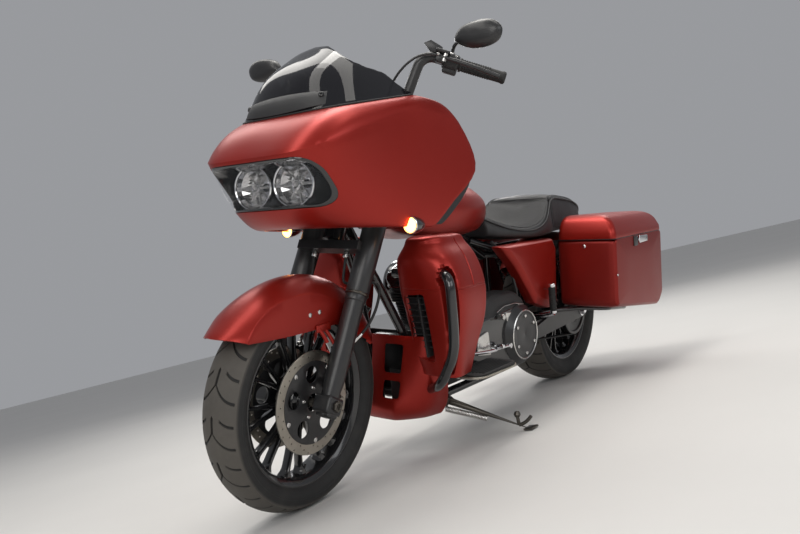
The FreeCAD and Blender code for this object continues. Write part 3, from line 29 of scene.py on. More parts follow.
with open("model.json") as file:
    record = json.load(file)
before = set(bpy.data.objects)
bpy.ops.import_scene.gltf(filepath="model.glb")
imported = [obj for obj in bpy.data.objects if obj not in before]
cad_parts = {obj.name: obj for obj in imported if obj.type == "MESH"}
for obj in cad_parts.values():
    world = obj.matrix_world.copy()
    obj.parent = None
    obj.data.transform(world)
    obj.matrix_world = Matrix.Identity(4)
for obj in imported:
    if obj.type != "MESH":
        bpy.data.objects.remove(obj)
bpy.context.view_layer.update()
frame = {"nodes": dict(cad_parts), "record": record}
bpy.ops.object.select_all(action="DESELECT")

bike = {"wheelbase": 1625, "frontRadius": 319, "rearRadius": 327, "trail": 173, "rake": 26, "forkRake": 28,
        "steer": 5.1}
sides = (1, -1)
farAhead = 1200


# Where the upright bike lies in the frame

joints = {joint["name"]: joint for joint in frame["record"]["behaviour"]["joints"]}
forwards = Vector(joints["right_lid"]["axis"]).normalized()
leftwards = Vector(joints["rear_wheel_spin"]["axis"]).normalized()
frontAxle = Vector((bike["wheelbase"] / 2, 0, bike["frontRadius"]))
rearAxle = Vector((-bike["wheelbase"] / 2, 0, bike["rearRadius"]))
leaned = Matrix((forwards, leftwards,
                 forwards.cross(leftwards))).transposed().to_4x4() @ Matrix.Scale(.001, 4)
leaned.translation = Vector(joints["rear_wheel_spin"]["pos_m"]) - leaned.to_3x3() @ rearAxle
steerFoot = frontAxle + Vector((bike["trail"], 0, -bike["frontRadius"]))


def sloped(degrees):
    # upwards, leaning back by so many degrees
    return Vector((-math.sin(math.radians(degrees)), 0, math.cos(math.radians(degrees))))


steerUp = sloped(bike["rake"])
forkUp = sloped(bike["forkRake"])
turn = Matrix.Rotation(math.radians(bike["steer"]), 4, steerUp)
steered = leaned @ Matrix.Translation(steerFoot) @ turn @ Matrix.Translation(-steerFoot)
ways = {"steering": steered, "front_wheel": steered}


def onFork(along, rear=0, side=0):
    fore = Vector((forkUp.z, 0, -forkUp.x))
    return frontAxle + forkUp * along - fore * rear + Vector((0, side, 0))


def onSteering(along, fore, side):
    return steerFoot + steerUp * along + Vector((steerUp.z, 0, -steerUp.x)) * fore + Vector((0, side, 0))


def onSide(point, side):
    # a point of the left side, or its twin on the right
    return Vector((point[0], point[1] * side, point[2]))


# Modelling helpers

def clear():
    bpy.ops.object.select_all(action="DESELECT")


def pick(obj):
    clear()
    obj.select_set(True)
    bpy.context.view_layer.objects.active = obj
    return obj


def made(name):
    obj = bpy.context.object
    obj.name = obj.data.name = name.replace(" ", "_")
    return obj


def modify(obj, kind, **settings):
    pick(obj)
    modifier = obj.modifiers.new(kind.title(), kind)
    for key, value in settings.items():
        setattr(modifier, key, value)
    bpy.ops.object.modifier_apply(modifier=modifier.name)
    return obj


def bevel(obj, width, segments=3, angle=30):
    return modify(obj, "BEVEL", width=width, segments=segments, limit_method="ANGLE",
                  angle_limit=math.radians(angle), harden_normals=False)


def thicken(obj, wall):
    return modify(obj, "SOLIDIFY", thickness=wall, offset=-1, use_even_offset=True)


def startEditing(obj):
    pick(obj)
    bpy.ops.object.mode_set(mode="EDIT")
    bpy.ops.mesh.select_all(action="SELECT")


def tidyMesh(obj, outward=True):
    startEditing(obj)
    bpy.ops.mesh.remove_doubles(threshold=.01)
    if outward:
        bpy.ops.mesh.normals_make_consistent(inside=False)
    bpy.ops.object.mode_set(mode="OBJECT")
    return obj


def grid(name, rows):
    # a sheet through rows of points, each row as long as the first
    bpy.ops.mesh.primitive_grid_add(x_subdivisions=len(rows[0]) - 1, y_subdivisions=len(rows) - 1, size=1)
    obj = made(name)
    points = [point for row in rows for point in row]
    for vertex, point in zip(obj.data.vertices, points):
        vertex.co = point
    return obj


def lathe(name, profile, steps=64, centre=(0, 0, 0), along=(0, 1, 0)):
    # a turned piece: its outline of (along, radius) corners is spun round the axis
    bpy.ops.mesh.primitive_circle_add(vertices=len(profile), fill_type="NOTHING")
    obj = made(name)
    axis = Vector(along).normalized()
    out = axis.orthogonal().normalized()
    for vertex, (across, radius) in zip(obj.data.vertices, profile):
        vertex.co = Vector(centre) + axis * across + out * radius
    startEditing(obj)
    bpy.ops.mesh.spin(steps=steps, angle=math.tau, center=centre, axis=axis)
    bpy.ops.object.mode_set(mode="OBJECT")
    return tidyMesh(obj)


def rod(name, start, end, radius, edge=1.0, sides=32, taper=None):
    start, end = Vector(start), Vector(end)
    bpy.ops.mesh.primitive_cone_add(vertices=sides, radius1=radius, radius2=radius if taper is None
                                    else taper, depth=(end - start).length)
    obj = made(name)
    turned = Vector((0, 0, 1)).rotation_difference(end - start).to_matrix().to_4x4()
    obj.data.transform(Matrix.Translation((start + end) / 2) @ turned)
    return bevel(obj, edge, 2) if edge else obj


def block(name, centre, size, edge=2.0, segments=3, turned=None):
    bpy.ops.mesh.primitive_cube_add(size=1)
    obj = made(name)
    obj.data.transform(Matrix.Translation(Vector(centre)) @ (turned or Matrix())
                       @ Matrix.Diagonal((*size, 1)))
    return bevel(obj, edge, segments) if edge else obj


def pipe(name, points, radius, smooth=True, sides=6):
    # a tube whose centre line is a smooth curve near the points, or straight runs through them
    bpy.ops.curve.primitive_nurbs_path_add()
    obj = made(name)
    curve = obj.data
    curve.splines.clear()
    spline = curve.splines.new("NURBS" if smooth else "POLY")
    spline.points.add(len(points) - 1)
    for knot, point in zip(spline.points, points):
        knot.co = (*point, 1)
    if smooth:
        spline.order_u = 3
        spline.use_endpoint_u = True
        spline.resolution_u = 6
    curve.dimensions = "3D"
    curve.bevel_depth = radius
    curve.bevel_resolution = sides
    curve.use_fill_caps = True
    pick(obj)
    bpy.ops.object.convert(target="MESH")
    return made(name)


def outlined(name, points, depth, edge=1.5, segments=3):
    # a flat outline of points with a thickness along the direction depth
    bpy.ops.mesh.primitive_circle_add(vertices=len(points), fill_type="NGON")
    obj = made(name)
    for vertex, point in zip(obj.data.vertices, points):
        vertex.co = point
    startEditing(obj)
    bpy.ops.mesh.extrude_region_move(TRANSFORM_OT_translate={"value": tuple(depth)})
    bpy.ops.mesh.select_all(action="SELECT")
    bpy.ops.mesh.normals_make_consistent(inside=False)
    bpy.ops.object.mode_set(mode="OBJECT")
    return bevel(obj, edge, segments) if edge else obj


def joined(name, *objs):
    clear()
    for obj in objs:
        obj.select_set(True)
    bpy.context.view_layer.objects.active = objs[0]
    if len(objs) > 1:
        bpy.ops.object.join()
    return made(name)


def copyOf(obj, matrix=None):
    twin = obj.copy()
    twin.data = obj.data.copy()
    bpy.context.collection.objects.link(twin)
    if matrix is not None:
        twin.data.transform(matrix)
        if matrix.determinant() < 0:
            twin.data.flip_normals()
    return twin


def roundTurns(count, centre, axis=(0, 1, 0), start=0):
    # the turns that spread copies round an axis
    for index in range(count):
        angle = start + math.tau * index / count
        yield Matrix.Translation(centre) @ Matrix.Rotation(angle, 4,
                Vector(axis)) @ Matrix.Translation(-Vector(centre))


def ringOf(name, obj, count, centre, axis=(0, 1, 0), start=0):
    copies = [copyOf(obj, matrix) for matrix in roundTurns(count, Vector(centre), axis, start)]
    bpy.data.objects.remove(obj)
    return joined(name, *copies)


def lofted(name, sections, steps=6):
    # a closed, capped skin over closed sections with as many points each, smooth along its length
    columns = [curveThrough(points, steps) if steps else [Vector(point) for point in points]
               for points in zip(*sections)]
    rows = [list(row) for row in zip(*columns)]
    for end in (0, -1):
        middle = sum(rows[end], Vector()) / len(rows[end])
        caps = [[point.lerp(middle, share) for point in rows[end]] for share in (.5, 1)]
        rows = caps[::-1] + rows if end == 0 else rows + caps
    return tidyMesh(grid(name, [[*row, row[0]] for row in rows]))


def facing(obj, start, way):
    # turns a sheet over if the face that a ray from outside meets first looks away from the ray's start
    bpy.context.view_layer.update()
    if obj.ray_cast(start, way)[2].dot(Vector(way)) > 0:
        obj.data.flip_normals()
    return obj


def cutBy(obj, *cutters, operation="DIFFERENCE"):
    for cutter in cutters:
        modify(obj, "BOOLEAN", operation=operation, object=cutter, solver="EXACT")
        bpy.data.objects.remove(cutter)
    return obj


def put(obj, look, body="chassis", slot=None, replaces=(), smoothAngle=35, padded=None):
    # leans the finished piece onto the stand, paints it and makes it ride on its body
    slot = slot or usualSlots[look]
    obj.data.transform(ways.get(body, leaned))
    obj.data.materials.clear()
    obj.data.materials.append(finishes[look])
    pick(obj)
    if smoothAngle:
        bpy.ops.object.shade_smooth_by_angle(angle=math.radians(smoothAngle))
    else:
        bpy.ops.object.shade_flat()
    if replaces:
        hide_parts(*replaces)
    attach(obj, body)
    clear()
    return obj


def putAll(name, objs, look, *rest, **settings):
    return put(joined(name, *objs), look, *rest, **settings)


def curveThrough(points, perSpan, first=None, last=None):
    # a smooth curve through the points, with knots spaced by the root of each span so that it never loops
    points = [Vector(point) for point in points]
    ends = [Vector(first) if first else points[0] * 2 - points[1], *points, Vector(last) if last
            else points[-1] * 2 - points[-2]]
    found = []
    for a, b, c, d in zip(ends, ends[1:], ends[2:], ends[3:]):
        first = (b - a).length ** .5
        second = first + (c - b).length ** .5
        third = second + (d - c).length ** .5
        for step in range(perSpan):
            t = first + (second - first) * step / perSpan
            low = a.lerp(b, t / first)
            middle = b.lerp(c, (t - first) / (second - first))
            high = c.lerp(d, (t - second) / (third - second))
            found.append(low.lerp(middle, t / second).lerp(middle.lerp(high,
                    (t - first) / (third - first)), (t - first) / (second - first)))
    return [*found, points[-1]]


def between(table, x):
    # straight-line lookup in rows of (x, value)
    for (x0, v0), (x1, v1) in zip(table, table[1:]):
        if x <= x1:
            return v0 + (v1 - v0) * max(0, (x - x0) / (x1 - x0))
    return table[-1][1]


def spread(points, count):
    # the same number of evenly spaced points along a polyline
    lengths = [0]
    for a, b in zip(points, points[1:]):
        lengths.append(lengths[-1] + (b - a).length)
    found, at = [], 0
    for index in range(count):
        goal = lengths[-1] * index / (count - 1)
        while at < len(points) - 2 and lengths[at + 1] < goal:
            at += 1
        span = lengths[at + 1] - lengths[at] or 1
        found.append(points[at].lerp(points[at + 1], min(1, (goal - lengths[at]) / span)))
    return found


def roundedPlan(corners, radius, perCorner=5):
    # corners of a closed outline in two dimensions, each rounded
    found = []
    for index, corner in enumerate(corners):
        here = Vector(corner)
        back = (Vector(corners[index - 1]) - here)
        ahead = (Vector(corners[(index + 1) % len(corners)]) - here)
        reach = min(radius, .48 * back.length, .48 * ahead.length)
        start, end = here + back.normalized() * reach, here + ahead.normalized() * reach
        for step in range(perCorner + 1):
            t = step / perCorner
            found.append(start * (1 - t) ** 2 + here * 2 * t * (1 - t) + end * t ** 2)
    return found


def slab(name, plan, axis, at, thick, edge=1.5, segments=3):
    # a flat piece with its plan across direction 0, 1 or 2, from at to at + thick
    points = [(*tuple(point)[:axis], at, *tuple(point)[axis:2]) for point in plan]
    return outlined(name, points, [thick if direction == axis else 0 for direction in range(3)], edge,
                    segments)


def drawnIn(plan, middle, share):
    return [Vector(middle) + (Vector(point) - Vector(middle)) * share for point in plan]


def roundedBox(corner, opposite, radius, perCorner=5):
    (x0, y0), (x1, y1) = corner, opposite
    return roundedPlan(((x0, y0), (x1, y0), (x1, y1), (x0, y1)), radius, perCorner)


print("helpers ready")


# Finishes

class Shade:
    # a node socket that takes part in plain expressions

    def __init__(self, tree, socket=None):
        self.tree = tree
        self.socket = socket

    def make(self, kind, settings=None, inputs=None, output=0):
        node = self.tree.nodes.new(kind)
        for key, value in (settings or {}).items():
            if key == "stops":
                ramp = node.color_ramp
                while len(ramp.elements) < len(value):
                    ramp.elements.new(.5)
                for element, (place, tone) in zip(ramp.elements, value):
                    element.position = place
                    element.color = tone if isinstance(tone, tuple) else (tone, tone, tone, 1)
            else:
                setattr(node, key, value)
        for key, value in (inputs or {}).items():
            if isinstance(value, Shade):
                self.tree.links.new(value.socket, node.inputs[key])
            else:
                node.inputs[key].default_value = value
        return Shade(self.tree, node.outputs[output])

    def maths(self, operation, other):
        return self.make("ShaderNodeMath", {"operation": operation}, {0: self, 1: other})

    def __add__(self, other):
        return self.maths("ADD", other)

    def __mul__(self, other):
        return self.maths("MULTIPLY", other)

    def noise(self, scale, detail=3, stretch=(1, 1, 1), rough=.5):
        place = self.make("ShaderNodeTexCoord", output=3)
        if stretch != (1, 1, 1):
            place = self.make("ShaderNodeMapping", None, {"Vector": place, "Scale": stretch})
        return self.make("ShaderNodeTexNoise", None, {"Vector": place, "Scale": scale, "Detail": detail,
                "Roughness": rough})

    def cells(self, scale, feature="DISTANCE_TO_EDGE"):
        place = self.make("ShaderNodeTexCoord", output=3)
        return self.make("ShaderNodeTexVoronoi", {"feature": feature}, {"Vector": place, "Scale": scale})

    def ramp(self, *stops):
        return self.make("ShaderNodeValToRGB", {"stops": stops}, {"Fac": self})

    def mix(self, low, high):
        return self.make("ShaderNodeMix", {"data_type": "RGBA"}, {0: self, 6: low, 7: high}, output=2)

    def bump(self, strength, distance):
        return self.make("ShaderNodeBump", None, {"Height": self, "Strength": strength,
                "Distance": distance})


def finish(name, recipe, **fixed):
    # fixed: numbers on the shader's own sockets; recipe: what varies over the surface
    material = bpy.data.materials.new(name)
    material.use_nodes = True
    tree = material.node_tree
    shader = tree.nodes["Principled BSDF"]
    for key, value in fixed.items():
        shader.inputs[key.replace("_", " ")].default_value = value
    for key, value in recipe(Shade(tree)).items():
        tree.links.new(value.socket, shader.inputs[key])
    return material


def tone(colour, factor=1.0):
    return (*(channel * factor for channel in colour), 1)


def paintRecipe(colour, rough):
    def recipe(shade):
        cloud = shade.noise(3, 2)
        fine = shade.noise(900, 1)
        return {"Base Color": cloud.mix(tone(colour, .88), tone(colour, 1.12)),
                "Roughness": shade.noise(14, 4) * .08 + rough,
                "Normal": fine.bump(.06, .0004)}
    return recipe


def satinRecipe(colour, rough):
    # satin paint with fine metal flake under a dull clear coat
    def recipe(shade):
        cloud = shade.noise(2.5, 2)
        flake = shade.cells(1800, "F1").ramp((.25, 1), (.6, 0))
        base = cloud.mix(tone(colour, .9), tone(colour, 1.12))
        return {"Base Color": (flake * .16).mix(base, tone((.8, .08, .04))),
                "Roughness": shade.noise(9, 5) * .1 + rough,
                "Normal": shade.noise(700, 1).bump(.15, .0003)}
    return recipe


def wrinkleRecipe(colour):
    def recipe(shade):
        grain = shade.noise(420, 4, rough=.7)
        return {"Base Color": shade.noise(6, 3).mix(tone(colour, .7), tone(colour, 1.4)),
                "Roughness": grain * .25 + .42,
                "Normal": grain.bump(.5, .0012)}
    return recipe


def rubberRecipe(colour, grainScale):
    def recipe(shade):
        return {"Base Color": shade.noise(5, 6, rough=.65).mix(tone(colour, .7), tone(colour, 1.6)),
                "Roughness": shade.noise(30, 4) * .2 + .58,
                "Normal": shade.noise(grainScale, 4).bump(.35, .0008)}
    return recipe


def tyreRecipe(shade):
    # dusty worn crown, near black grooves and dull sidewalls
    worn = shade.make("ShaderNodeAttribute", {"attribute_name": "worn"}, output=2)
    dust = shade.noise(7, 6, rough=.7)
    crown = dust.mix(tone((.042, .038, .033)), tone((.105, .095, .082)))
    wall = dust.ramp((.5, 0), (.8, .5)).mix(tone((.013, .013, .013)), tone((.05, .046, .04)))
    return {"Base Color": worn.mix(wall, crown),
            "Roughness": shade.noise(30, 4) * .2 + .6,
            "Normal": shade.noise(260, 4).bump(.3, .0008)}


def leatherRecipe(colour):
    # pebbled grain over soft folds
    def recipe(shade):
        grain = shade.cells(620).ramp((0, 0), (.12, 1))
        folds = shade.noise(11, 4, rough=.55)
        height = grain * .25 + folds * 1.6
        return {"Base Color": folds.mix(tone(colour, .6), tone(colour, 1.5)),
                "Roughness": grain * .1 + shade.noise(20, 3) * .18 + .28,
                "Normal": height.bump(.5, .0022)}
    return recipe


def brushedRecipe(colour, rough, stretch=(1, 40, 40)):
    def recipe(shade):
        lines = shade.noise(60, 4, stretch)
        stains = shade.noise(18, 4)
        return {"Base Color": stains.mix(tone(colour, .78), tone(colour, 1.15)),
                "Roughness": lines * .2 + rough,
                "Normal": lines.bump(.12, .0005)}
    return recipe


def glassRecipe(colour, rough=.04):
    def recipe(shade):
        smear = shade.noise(7, 5, rough=.6).ramp((.45, 0), (.8, 1))
        return {"Base Color": smear.mix(tone(colour), tone(colour, 1.5)), "Roughness": smear * .06 + rough}
    return recipe


red = (.27, .0085, .0045)
finishes = {
    "red": finish("satin red paint", satinRecipe(red, .3), Metallic=.6, Coat_Weight=.12,
                  Coat_Roughness=.25),
    # a darker copy of the body red: painted shade, given to the saddlebag shells while their lids keep the
    # body red
    "redInPaintedShade": finish("shaded red paint", satinRecipe((.19, .007, .005), .32), Metallic=.55),
    "gloss": finish("gloss black enamel", paintRecipe((.011, .011, .012), .13), Coat_Weight=.6,
                    Coat_Roughness=.05),
    "satinBlack": finish("satin black enamel", paintRecipe((.017, .017, .018), .34), Coat_Weight=.1),
    "wrinkle": finish("black wrinkle coat", wrinkleRecipe((.02, .02, .021)), Metallic=.15),
    "plastic": finish("black moulded plastic", wrinkleRecipe((.018, .018, .019))),
    "tyre": finish("tyre rubber", tyreRecipe),
    "rubber": finish("ribbed rubber", rubberRecipe((.012, .012, .012), 500)),
    "leather": finish("black leather cover", leatherRecipe((.012, .012, .013)), Specular_IOR_Level=.6),
    "steel": finish("stained steel", brushedRecipe((.42, .39, .34), .26), Metallic=1.0),
    "bright": finish("bright steel", brushedRecipe((.66, .65, .63), .14, (30, 30, 30)), Metallic=1.0),
    "chrome": finish("polished chrome", brushedRecipe((.78, .78, .8), .03, (1, 1, 1)), Metallic=1.0),
    "alloy": finish("dark grey alloy", brushedRecipe((.09, .09, .095), .3), Metallic=.8),
    "darkSteel": finish("darkened steel", brushedRecipe((.1, .092, .08), .24), Metallic=.9),
    "smoked": finish("smoked windshield", glassRecipe((.006, .006, .008)), Alpha=.88, Coat_Weight=.2,
                     Coat_Roughness=.05, Specular_IOR_Level=.3),
    "clear": finish("clear lens", glassRecipe((.12, .13, .14), .02), Alpha=.06, Coat_Weight=.25),
    "amber": finish("amber lens, lit", glassRecipe((.9, .3, .03), .2), Emission_Color=(1, .42, .1, 1),
                    Emission_Strength=9.0),
    "redLens": finish("red lens", glassRecipe((.3, .006, .006), .1), Coat_Weight=.6),
    "mirror": finish("mirror glass", glassRecipe((.75, .78, .8), .01), Metallic=1.0),
    "screen": finish("dial glass", glassRecipe((.012, .013, .015), .05), Coat_Weight=1.0),
    "dial": finish("dial face", paintRecipe((.55, .54, .5), .5)),
}
# the slot that put() looks up for each finish, unless its call names another; put() does nothing further with
# it
usualSlots = {
    "red": "body_red", "redInPaintedShade": "body_red", "gloss": "gloss_black", "satinBlack": "frame_black",
    "wrinkle": "engine_black", "plastic": "black_plastic", "tyre": "tyre", "rubber": "rubber",
    "leather": "seat_leather", "steel": "steel", "bright": "chrome", "chrome": "chrome",
              "alloy": "aluminium",
    "darkSteel": "steel", "smoked": "smoked_glass", "clear": "lamp_glass", "amber": "amber_lens",
    "redLens": "red_lens", "mirror": "chrome", "screen": "smoked_glass", "dial": "black_plastic",
}
print("finishes ready")


# Camera, floor and light

picture = {"spot": (2163.3, 1511.6, 866.6), "yaw": 219.149, "pitch": 2.737, "roll": 13.419, "lens": 31.41,
           "floorTone": (.66, .65, .63), "sky": .34}


def addCamera():
    yaw, pitch, roll = (math.radians(picture[key]) for key in ("yaw", "pitch", "roll"))
    ahead = Vector((math.cos(pitch) * math.cos(yaw), math.cos(pitch) * math.sin(yaw), math.sin(pitch)))
    across = ahead.cross(Vector((0, 0, 1))).normalized()
    rising = across.cross(ahead)
    right = across * math.cos(roll) - rising * math.sin(roll)
    up = across * math.sin(roll) + rising * math.cos(roll)
    turned = Matrix((right, up, -ahead)).transposed().to_4x4()
    bpy.ops.object.camera_add()
    camera = made("photo view")
    camera.matrix_world = Matrix.Translation(leaned @ Vector(picture["spot"])) @ turned
    camera.data.lens = picture["lens"]
    bpy.context.scene.camera = camera


def addLight(name, spot, aim, width, height, watts, colour):
    bpy.ops.object.light_add(type="AREA", location=spot)
    lamp = made(name)
    lamp.data.shape = "RECTANGLE"
    lamp.data.size, lamp.data.size_y = width, height
    lamp.data.energy = watts
    lamp.data.color = colour
    aimed = (Vector(aim) - Vector(spot)).to_track_quat("-Z", "Y")
    lamp.matrix_world = Matrix.Translation(spot) @ aimed.to_matrix().to_4x4()


def floorRecipe(shade):
    stain = shade.noise(.9, 6, rough=.6)
    return {"Base Color": stain.mix(tone(picture["floorTone"], .93), tone(picture["floorTone"], 1.05)),
            "Roughness": stain * .12 + .62,
            "Normal": shade.noise(90, 5).bump(.06, .002)}


def addFloor():
    bpy.ops.mesh.primitive_plane_add(size=60)
    floor = made("floor")
    floor.data.materials.append(finish("pale floor", floorRecipe))
    world = bpy.data.worlds.new("pale room")
    bpy.context.scene.world = world
    world.use_nodes = True
    world.node_tree.nodes["Background"].inputs["Color"].default_value = (.93, .95, 1, 1)
    world.node_tree.nodes["Background"].inputs["Strength"].default_value = picture["sky"]


addCamera()
addFloor()
for strip, (x, y) in enumerate(((1.6, 0), (0, 0), (-1.8, 0))):
    addLight(f"overhead {strip + 1}", (x, y, 3.4), (x * .6, 0, .6), .9, 5.5, 48, (1, .97, .92))
addLight("front fill", (4.2, 2.2, 2.2), (.3, 0, .7), 2.4, 1.8, 52, (1, .98, .95))
addLight("left fill", (.6, 4.2, 1.8), (0, 0, .5), 3.5, 1.6, 34, (.96, .98, 1))
addLight("rear rim", (-3.4, -2.6, 2.6), (-.2, 0, .9), 2.0, 1.4, 60, (1, .98, .96))
bpy.context.scene.view_settings.view_transform = "Standard"
print("camera, floor and light")


# Fairing: painted shell, twin headlamps, windshield and turn signals

# rings: height at the nose line, rise towards the rear as far as the shoulder and behind it, then half a plan
# outline: nose x, corner x y, flank x y, side x y, half width at tailX
fairing = {"rings": ((822, -.07, -.07, 800, 786, 104, 740, 168, 600, 238, 340),
                     (868, .03, .03, 868, 838, 168, 795, 206, 600, 262, 345),
                     (1024, .31, -.16, 925, 915, 180, 842, 238, 540, 280, 330),
                     (1118, .16, .16, 806, 780, 168, 740, 206, 560, 240, 272)),
           "noseLine": 900, "shoulder": 540, "soften": 70, "tailX": 250, "wall": 4.5, "columns": 40,
           "rowsBelow": 16, "rowsAbove": 9, "bulge": 7,
           "rearEdge": ((788, 474), (856, 404), (968, 292), (1148, 386), (1184, 490)), "edge": 2.2,
           "band": 46, "bandTop": 930, "bandFade": 60, "bandFront": 580, "bandSlope": 110}
lampHole = {"half": 220, "low": 872, "high": 1006, "corner": 52, "ring": 7, "backX": 765}
lamp = {"side": 86, "wide": 1.26, "height": 941, "radius": 64, "front": 838, "depth": 52, "facets": 28}
glass = {"wall": 4, "rows": 14,
         "middle": (1250, ((752, 0), (738, 116), (688, 165), (530, 205), (480, 214))),
         "top": (1352, ((622, 0), (606, 92), (545, 138), (470, 168))),
         "edge": ((0, 1350), (60, 1342), (100, 1322), (150, 1288), (200, 1250), (240, 1195), (262, 1184))}
air = {"half": 168, "foot": 1136, "slotFrom": 1141, "rise": 12, "columns": 41,
       "rows": ((1136, -3), (1138, 7), (1150, 11), (1162, 10), (1172, 5), (1175, -3))}
rearEdgeX = [(point.x, point.y) for point in curveThrough([(*row, 0) for row in fairing["rearEdge"]], 8)]


def ringNumbers(level):
    rings = fairing["rings"]
    if level <= 2:
        return [a * (level - 1) * (level - 2) / 2 - b * level * (level - 2) + c * level * (level - 1) / 2
                for a, b, c in zip(*rings[:3])]
    share = level - 2
    swell = fairing["bulge"] * 4 * share * (1 - share)
    return [a + (b - a) * share + (swell if index not in (1, 2) else 0)
            for index, (a, b) in enumerate(zip(*rings[2:]))]


def halfPlan(level, count):
    height, rise, fall, nose, *outline = ringNumbers(level)

    def lifted(x):
        behind, soften = fairing["shoulder"] - x, fairing["soften"]
        behind = behind if behind > soften else max(0, behind + soften) ** 2 / (4 * soften)
        return height + rise * (fairing["noseLine"] - x - behind) + fall * behind

    corner, flank, side = (tuple(outline[index:index + 2]) for index in (0, 2, 4))
    plan = curveThrough([(nose, 0, 0), (*corner, 0), (*flank, 0), (*side, 0),
                         (fairing["tailX"], outline[6], 0)], 14, first=(corner[0], -corner[1], 0))
    end = 400
    for _ in range(4):
        end = between(rearEdgeX, lifted(end))
    kept = [point for point in plan if point.x > end + 1]
    beyond = plan[len(kept)]
    kept.append(kept[-1].lerp(beyond, (kept[-1].x - end) / (kept[-1].x - beyond.x)))
    return [Vector((point.x, point.y, lifted(point.x))) for point in spread(kept, count)]


def wholeRow(half):
    return [Vector((point.x, -point.y, point.z)) for point in reversed(half[1:])] + half


def addFairing():
    below, above = fairing["rowsBelow"], fairing["rowsAbove"]
    levels = [2 * index / below for index in range(below + 1)]
    levels += [2 + (index + 1) / above for index in range(above)]
    skin = grid("fairing skin", [wholeRow(halfPlan(level, fairing["columns"])) for level in levels])
    tidyMesh(skin)
    facing(skin, (farAhead, 0, 940), (-1, 0, 0))
    return skin


def lampOutline(inset):
    half, low, high = lampHole["half"] - inset, lampHole["low"] + inset, lampHole["high"] - inset
    corners = [(half, low, 0), (half, high, 0), (-half, high, 0), (-half, low, 0)]
    outline = roundedPlan(corners, lampHole["corner"] - inset * .4, 8)
    return spread([*outline, outline[0]], 97)[:-1]


def onSkin(skin, y, z):
    return skin.ray_cast((farAhead, y, z), (-1, 0, 0))[1]


def addLamps(skin):
    surround = []
    for inset, sink in ((-1, 3.5), (3, .5), (lampHole["ring"], 2), (lampHole["ring"] + 3, 12)):
        ring = lampOutline(inset)
        surround.append([onSkin(skin, point.x, point.y) - Vector((sink, 0, 0)) for point in ring])
    back = [Vector((lampHole["backX"], point.x * .93, point.y))
            for point in lampOutline(lampHole["ring"] + 12)]
    centre = Vector((lampHole["backX"], 0, lamp["height"]))
    rows = [*surround, back, [point.lerp(centre, .5) for point in back], [centre] * len(back)]
    bezel = tidyMesh(grid("headlamp surround", [[*row, row[0]] for row in rows]))
    put(bezel, "gloss", replaces=("headlamp",))

    bowls, rings, lenses, braces = [], [], [], []
    for side in sides:
        centre = Vector((lamp["front"], lamp["side"] * side, lamp["height"]))
        radius, depth = lamp["radius"], lamp["depth"]
        bowl = lathe("bowl", ((-2, radius - 4), (-depth * .3, radius * .86), (-depth * .7, radius * .6),
                              (-depth, radius * .2), (-depth - 3, radius * .2),
                              (-depth * .7 - 3, radius * .66), (-depth * .3 - 3, radius * .92),
                              (-2, radius - 2)), lamp["facets"], centre, (1, 0, 0))
        bowls.append(bowl)
        rings.append(lathe("rim", ((-8, radius - 5), (1, radius - 5), (3, radius - 3), (3, radius - 1),
                                   (0, radius + 1), (-8, radius + 1)), 72, centre, (1, 0, 0)))
        rings.append(lathe("pupil", ((-16, 9), (-10, 9), (-9, 11), (-10, 13), (-16, 13)), 40, centre,
                           (1, 0, 0)))
        braces.append(block("bar", centre + Vector((-20, 0, 0)), (10, radius * 1.78, 9), 2))
        for angle in (50, 90, 130, 230, 270, 310):
            place = Matrix.Translation(centre) @ Matrix.Rotation(math.radians(angle), 4, "X")
            rib = block("rib", (-26, radius * .52, 0), (8, radius * .66, 2), .6, 1)
            rib.data.transform(place)
            braces.append(rib)
        lenses.append(lathe("lens", ((0, .5), (0, radius * .5), (-2, radius - 5), (-4, radius - 5),
                (-2.5, radius * .5), (-2.5, .5)), 64, centre + Vector((3, 0, 0)), (1, 0, 0)))
    for item in [*bowls, *rings, *lenses, *braces]:
        # each lamp is wider than it is high
        side = math.copysign(1, sum(vertex.co.y for vertex in item.data.vertices))
        middle = Vector((0, lamp["side"] * side, 0))
        widened = Matrix.Diagonal((1, lamp["wide"], 1, 1))
        item.data.transform(Matrix.Translation(middle) @ widened @ Matrix.Translation(-middle))
    putAll("headlamp bowls", bowls, "chrome", smoothAngle=0)
    putAll("headlamp rims", rings, "chrome")
    putAll("headlamp bars", braces, "bright")
    putAll("headlamp lenses", lenses, "clear")


def lampPlug(inset):
    return slab("plug", lampOutline(inset), 0, 700, 400, 0)


def addShell(skin):
    liner = copyOf(skin)
    liner.name = "fairing_inner_side"
    modify(liner, "DISPLACE", strength=-fairing["wall"] - 1.5, mid_level=0)
    for vertex in liner.data.vertices:
        # its lower rear edge shows behind the painted shell as a dark band
        low = min(1, max(0, (fairing["bandTop"] - vertex.co.z) / fairing["bandFade"]))
        behind = min(1, max(0, (fairing["bandFront"] - vertex.co.x) / fairing["bandSlope"]))
        vertex.co.x -= fairing["band"] * low * behind
    cutBy(thicken(liner, 2), lampPlug(-6))
    put(liner, "plastic")
    cover = copyOf(skin)
    cover.name = "headlamp_cover"
    modify(cover, "DISPLACE", strength=-1.0, mid_level=0)
    cutBy(thicken(cover, 2.5), lampPlug(lampHole["ring"] + .5), operation="INTERSECT")
    put(cover, "clear")
    thicken(skin, fairing["wall"])
    cutBy(skin, lampPlug(0))
    bevel(skin, fairing["edge"], 2, 40)
    put(skin, "red", replaces=("fairing",), smoothAngle=30)


